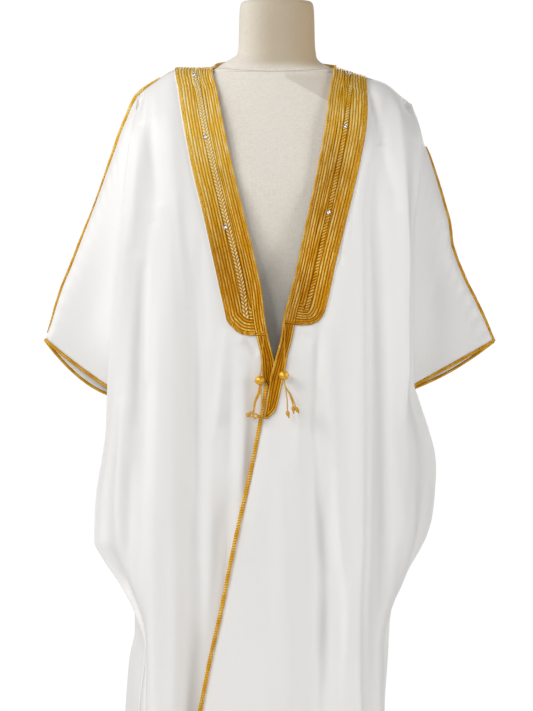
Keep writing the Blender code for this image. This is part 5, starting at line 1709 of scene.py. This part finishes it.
# %% [markdown]
# A thin white roll beside the outer edge of each band is the cloth folded over its border. It and
# the neck seam's thread are ropes too, without grooves.

# %% Rolled cloth and seam thread
THREAD = Finish("tan_thread", Base_Color=(0.56, 0.41, 0.29), Roughness=0.8).material
for side, table in (("right", BAND_RIGHT), ("left", BAND_LEFT)):
    sheet, facing = FRONTS[side]
    heights = np.linspace(sheet[0, 0, 2] - 0.001, table[-1][0] + 0.0006, 150)
    share = np.minimum(along(table, 1, heights) + 0.012, 1.0)
    line = beside_band(sheet, facing, heights, share, 0.0006)
    put(rope("piping_" + side, line, 0.0009, WHITE_CLOTH, groove=0.0, sides=8, step=0.0015, uneven=0.0),
        [])
put(rope("neck_seam", seam_line, 0.00045, THREAD, groove=0.0, sides=6, step=0.002, closed=True), [])

# %% [markdown]
# ## Beads on strings
# Each thin string is stitched to the end of a band and holds a ball of wound gold thread. Under
# the ball its ends part: on the right they are curled in small rings, on the left they are wound
# in barrel knots. A ball is a lathe profile with fine ridges, and a curl is a path that turns.

# %% Balls and curls
def ball(name, centre, radius, finish, count=64, rows=40):
    """A flattened ball with a small ring at both ends and faint meridian ridges."""
    lat = np.linspace(-1, 1, rows) * np.pi / 2 * 0.96
    angle = round_angles(count)
    reach = radius * np.cos(lat) * (1 + 0.03 * np.exp(-((np.abs(lat) - 1.28) / 0.07) ** 2) * 6)
    ridge = 1 + 0.012 * np.abs(np.sin(angle * 16))[None] * np.cos(lat)[:, None]
    across = reach[:, None] * ridge
    rings = np.stack([centre[0] + across * np.cos(angle), centre[1] + across * np.sin(angle),
                      np.broadcast_to((centre[2] + 0.94 * radius * np.sin(lat))[:, None], across.shape)], -1)
    uv = np.stack(np.broadcast_arrays(angle[None] * radius, lat[:, None] * radius), -1)
    rib = np.broadcast_to(0.55 + 0.35 * np.abs(np.sin(angle * 16))[None], across.shape)
    return loft_piece(name, rings, finish, uv.transpose(1, 0, 2), rib.T, flip=True)


def curl(centre, radius, turns, start, rise):
    """Points that turn round a centre in the plane of the cloth, drawing forward a little."""
    t = np.linspace(0, 1, int(14 * turns) + 4)
    angle = start + t * turns * 2 * np.pi
    r = radius * (1 - 0.25 * t)
    return np.stack([centre[0] + r * np.cos(angle), centre[1] - rise * t, centre[2] + r * np.sin(angle)], -1)


def joined(*parts):
    """Paths put end to end."""
    return np.concatenate([np.asarray(part, float).reshape(-1, 3) for part in parts])


print("a curl of one and a half turns:", len(curl((0, 0, 0), 0.004, 1.5, 0, 0.001)), "points")

# %% [markdown]
# The string comes down from the tab, goes through the ball and runs on into the first strand
# under it. Part of the way down a few loose threads are frayed.

# %% Strings, balls and frays
# What hangs under each ball, in metres from its middle.
PAIR = ((0.0004, 0, -0.0078), (0.0002, -0.002, -0.015), (-0.004, -0.0045, -0.025),
        (-0.0092, -0.007, -0.0355), (-0.0102, -0.0078, -0.042), (-0.011, -0.008, -0.05))
RUN_ON = {"right": joined(PAIR, curl((-0.015, -0.0084, -0.0555), 0.0042, 1.6, 0.9, 0.0016)),
          "left": joined((0.0004, 0, -0.0078), (0.0012, -0.0015, -0.015), (0.004, -0.004, -0.03),
                         (0.0055, -0.0064, -0.0471), (0.0055, -0.008, -0.0585),
                         (0.007, -0.0082, -0.064))}
FRAY = np.array(((-0.0022, 0, 0.0016), (-0.0006, -0.0008, 0.0003), (0.001, -0.0006, 0.0002),
                 (0.0008, 0.0004, -0.0006), (0.0024, 0, -0.0018)))
ON_TAB = LIFT + BAND + RIDGE  # how far a tab's face is off the cloth
cords = {}
for name, sheet, hang in (("right", right, HANG_RIGHT), ("left", left, HANG_LEFT)):
    x0, z0, x1, z1 = hang
    y0 = at_height(sheet, x0, z0)[0] - ON_TAB - 0.0008
    y1 = at_height(sheet, x1, z1)[0] - ON_TAB - BEAD - 0.0010
    t = np.linspace(0, 1, 24)
    path = np.stack([x0 + (x1 - x0) * t ** 2 + 0.0005 * np.sin(9 * t), y0 + (y1 - y0) * t,
                     z0 + (z1 + BEAD * 0.935 + 0.0005 - z0) * t], -1)
    centre = np.array((x1, y1, z1))
    knot = path[14] + np.array((0, -0.0004, 0))
    path = joined(path, RUN_ON[name] + centre)
    string = gold(rope(f"string_{name}_thread", path, 0.00095, GOLD_STRING, 0.003, 2, 0.25, 8, 0.0004,
                       uneven=0.0), "string_" + name)
    bead = gold(ball(f"bead_{name}_wound", centre, BEAD, GOLD_BEAD), "bead_" + name)
    fray = gold(rope(f"fray_{name}", knot + FRAY, 0.0004, GOLD_STRING, 0.002, 2, 0.2, 6, 0.0004,
                     uneven=0.0))
    cords[name] = (smooth_path(path, 0.002), bead, string, fray, centre)

# %% [markdown]
# Right, under the ball: a second strand beside the first one, another that ends further out, and
# a thin one, all curled at their ends. Each is a short path and a curl, joined.

# %% Strands on the right
extras = {"right": [], "left": []}


def strand(side, key, points, radius):
    """A strand under one side's ball, its points given from the ball's middle."""
    made = gold(rope(f"strand_{side}_{key}", points + cords[side][4], radius, GOLD_STRING, 0.0032, 2, 0.2,
                     9, 0.0005, uneven=0.0))
    extras[side].append(made)


strand("right", "b", joined(np.array(PAIR) + (0.0019, 0.0004, 0),
                            curl((-0.0072, -0.0082, -0.0575), 0.0038, 1.7, 2.3, 0.0022)), 0.0013)
strand("right", "c", joined((-0.0002, 0.0002, -0.0078), (-0.003, -0.003, -0.02),
                            (-0.0082, -0.006, -0.034), (-0.0096, -0.0066, -0.048),
                            curl((-0.019, -0.008, -0.056), 0.003, 1.3, 0.2, 0.0014)), 0.00125)
strand("right", "d", joined((0.0008, 0, -0.0078), (0.0022, -0.003, -0.022), (0.003, -0.005, -0.04),
                            (0.002, -0.006, -0.054),
                            curl((-0.0004, -0.0064, -0.059), 0.0026, 1.5, 0.6, 0.0014)), 0.0009)

# %% [markdown]
# Left, under the ball: the string and a pair of strands, each with a barrel knot and a short
# tail. A barrel knot is thread wound round itself, so a short thick rope of one strand shows it.

# %% Strands on the left
# Name, its bend, its knot's upper end and its tail's end, all from the ball's middle.
KNOTTED = (("a", (0.004, -0.004, -0.03), (0.0055, -0.008, -0.0585), (0.0085, -0.0084, -0.069)),
           ("b", (0.009, -0.005, -0.03), (0.015, -0.009, -0.0505), (0.0158, -0.0094, -0.062)),
           ("c", (0.0105, -0.006, -0.031), (0.0195, -0.01, -0.0525), (0.024, -0.0104, -0.061)))
for key, bend, knot_at, tail in KNOTTED:
    bend, knot_at, tail = np.array(bend), np.array(knot_at), np.array(tail)
    if key != "a":
        near = 0.4 * bend + 0.6 * knot_at + (0.0006, 0, 0)
        strand("left", key, joined(RUN_ON["left"][:2], bend, near, knot_at), 0.0013)
    way = unit(tail - knot_at)
    line = joined(knot_at - way * 0.001, knot_at + way * 0.003, knot_at + way * 0.0072)
    barrel = gold(rope(f"knot_left_{key}", line + cords["left"][4],
                       (0.002, 0.0032, 0.0033, 0.0032, 0.002), GOLD_STRING, 0.0022, 1, 0.28, 12, 0.0003,
                       uneven=0.0))
    extras["left"].append(barrel)
    strand("left", key + "_tail", joined(knot_at + way * 0.007, knot_at + way * 0.0088, tail), 0.0014)

# %% [markdown]
# String, bead and strands of each side hang free from the tab to the knots. The length of each
# string is printed.

# %% The hanging cords
for side in ("right", "left"):
    path, bead, string, fray, centre = cords[side]
    long = float(np.linalg.norm(np.diff(path, axis=0), axis=1).sum())
    print("string", side, round(long, 4))
    tuple(map(float, path[0]))
    [tuple(map(float, p)) for p in path]
    [bead, fray] + extras[side]

# %% [markdown]
# ## Flat cuts of the cloth
# The cloak's five panels are cloth. Each one's flat cut is its mean width and its longest line
# down, measured along the folds, and its area is that of the panel itself. Each is printed.

# %% Flat cuts
def lengths(grid):
    """The mean width, the longest line down and the area of a grid of points, in metres."""
    across = np.linalg.norm(np.diff(grid, axis=0), axis=-1).sum(0).mean()
    down = np.linalg.norm(np.diff(grid, axis=1), axis=-1).sum(1).max()
    u = grid[1:, :-1] - grid[:-1, :-1]
    v = grid[:-1, 1:] - grid[:-1, :-1]
    return float(across), float(down), float(np.linalg.norm(np.cross(u, v), axis=-1).sum())


def cut(piece, grid, rests_on):
    """The piece's flat cut: mean width, longest line down and area, printed."""
    wide, long, area = lengths(grid)
    area = min(area, wide * long)
    print(piece.name, "cut", round(wide, 3), "x", round(long, 3), "area", round(area, 3))


FORM_ITSELF = ["form_torso"]
for piece, grid, side in ((front_r, right_cloth, "right"), (front_l, left_cloth, "left")):
    cut(piece, grid, FORM_ITSELF)
cut(rear_piece, rear_cloth, FORM_ITSELF)
for piece, arm, side in ((sleeve_r, arm_right, "right"), (sleeve_l, arm_left, "left")):
    tube = np.concatenate([arm, arm[:, :1]], axis=1)
    cut(piece, tube.transpose(1, 0, 2), ["front_" + side, "back"])

# %% [markdown]
# ## Light, floor and camera
# The photo is a product picture on plain white: soft light from the upper left, a weaker white
# all round. The camera sees a plain white behind the cloak, while a dimmer, warmer one lights it,
# so the white cloth keeps its grey folds.

# %% White all round
scene = bpy.context.scene
scene.view_settings.view_transform = "Standard"
world = bpy.data.worlds.new("studio")
scene.world = world
world.use_nodes = True
tree = world.node_tree
tree.nodes.clear()
path_kind = tree.nodes.new("ShaderNodeLightPath")
mix = tree.nodes.new("ShaderNodeMixShader")
tree.links.new(path_kind.outputs["Is Camera Ray"], mix.inputs[0])
for number, colour, strength in ((1, (1.0, 0.985, 0.955, 1), 0.22), (2, (1, 1, 1, 1), 1.02)):
    white = tree.nodes.new("ShaderNodeBackground")
    white.inputs["Color"].default_value = colour
    white.inputs["Strength"].default_value = strength
    tree.links.new(white.outputs[0], mix.inputs[number])
result = tree.nodes.new("ShaderNodeOutputWorld")
tree.links.new(mix.outputs[0], result.inputs["Surface"])
print("world:", len(tree.nodes), "nodes")

# %% [markdown]
# Large square lamps give the soft light of a studio. Those at the sides graze the folds, which
# would look flat in light from the front alone.

# %% Lamps
def soft_light(name, place, aim, size, power, colour=(1, 1, 1)):
    """A square lamp at a place, turned to a point."""
    lamp = bpy.data.lights.new(name, "AREA")
    lamp.size = size
    lamp.energy = power
    lamp.color = colour
    made = bpy.data.objects.new(name, lamp)
    made.location = place
    way = np.array(aim) - np.array(place)
    tilt = np.arctan2(np.hypot(way[0], way[1]), -way[2])
    made.rotation_euler = (tilt, 0, np.arctan2(way[0], -way[1]) + np.pi)
    bpy.context.scene.collection.objects.link(made)
    return made


soft_light("key", (-2.8, -1.9, 2.9), (0, 0, 1.15), 1.6, 66, (1.0, 0.99, 0.975))
soft_light("front", (0.1, -5.6, 1.1), (0, 0, 1.1), 0.7, 19, (1.0, 0.995, 0.985))
soft_light("second", (-1.7, -3.7, 2.3), (0.1, 0, 1.15), 0.8, 26, (1.0, 0.99, 0.975))
soft_light("back", (1.2, 4.6, 2.4), (0, 0, 1.0), 2.2, 60, (1.0, 0.99, 0.975))
soft_light("side", (-2.6, 0.25, 3.0), (0, 0, 1.4), 0.5, 20, (1.0, 0.985, 0.96))
soft_light("fill", (3.8, -1.8, 1.75), (0.2, 0, 1.1), 1.6, 62, (1.0, 0.99, 0.97))
print("lamps:", len(bpy.data.lights))

# %% [markdown]
# The floor is a pale disc under the base. It belongs to the picture and not to the cloak.

# %% Floor
floor_ring = round_angles(96)
floor_points = np.stack([2.0 * np.cos(floor_ring), 2.0 * np.sin(floor_ring), 0 * floor_ring - 0.0002], -1)
FLOOR = Finish("floor", Base_Color=(0.86, 0.86, 0.86), Roughness=0.6).material
floor = mesh_piece("floor", floor_points, np.zeros((0, 4)), FLOOR, extra=(np.arange(96),))
print("floor:", len(floor.data.vertices), "points")

# %% [markdown]
# The camera stands far off with a long lens, as for a product picture: upright lines stay
# parallel. What it shows ends at knee height.

# %% Camera
FRONT_AWAY = 8.93  # from the camera to the cloak's front
HALF_HEIGHT = 0.5795  # half the height that the picture shows there
camera = bpy.data.objects.new("camera", bpy.data.cameras.new("camera"))
camera.location = (-0.0139, -9.0, 1.028)
camera.rotation_euler = (np.pi / 2, 0, 0)
camera.data.lens = 18 * FRONT_AWAY / HALF_HEIGHT
scene.collection.objects.link(camera)
scene.camera = camera
print("lens:", round(camera.data.lens, 1), "mm")
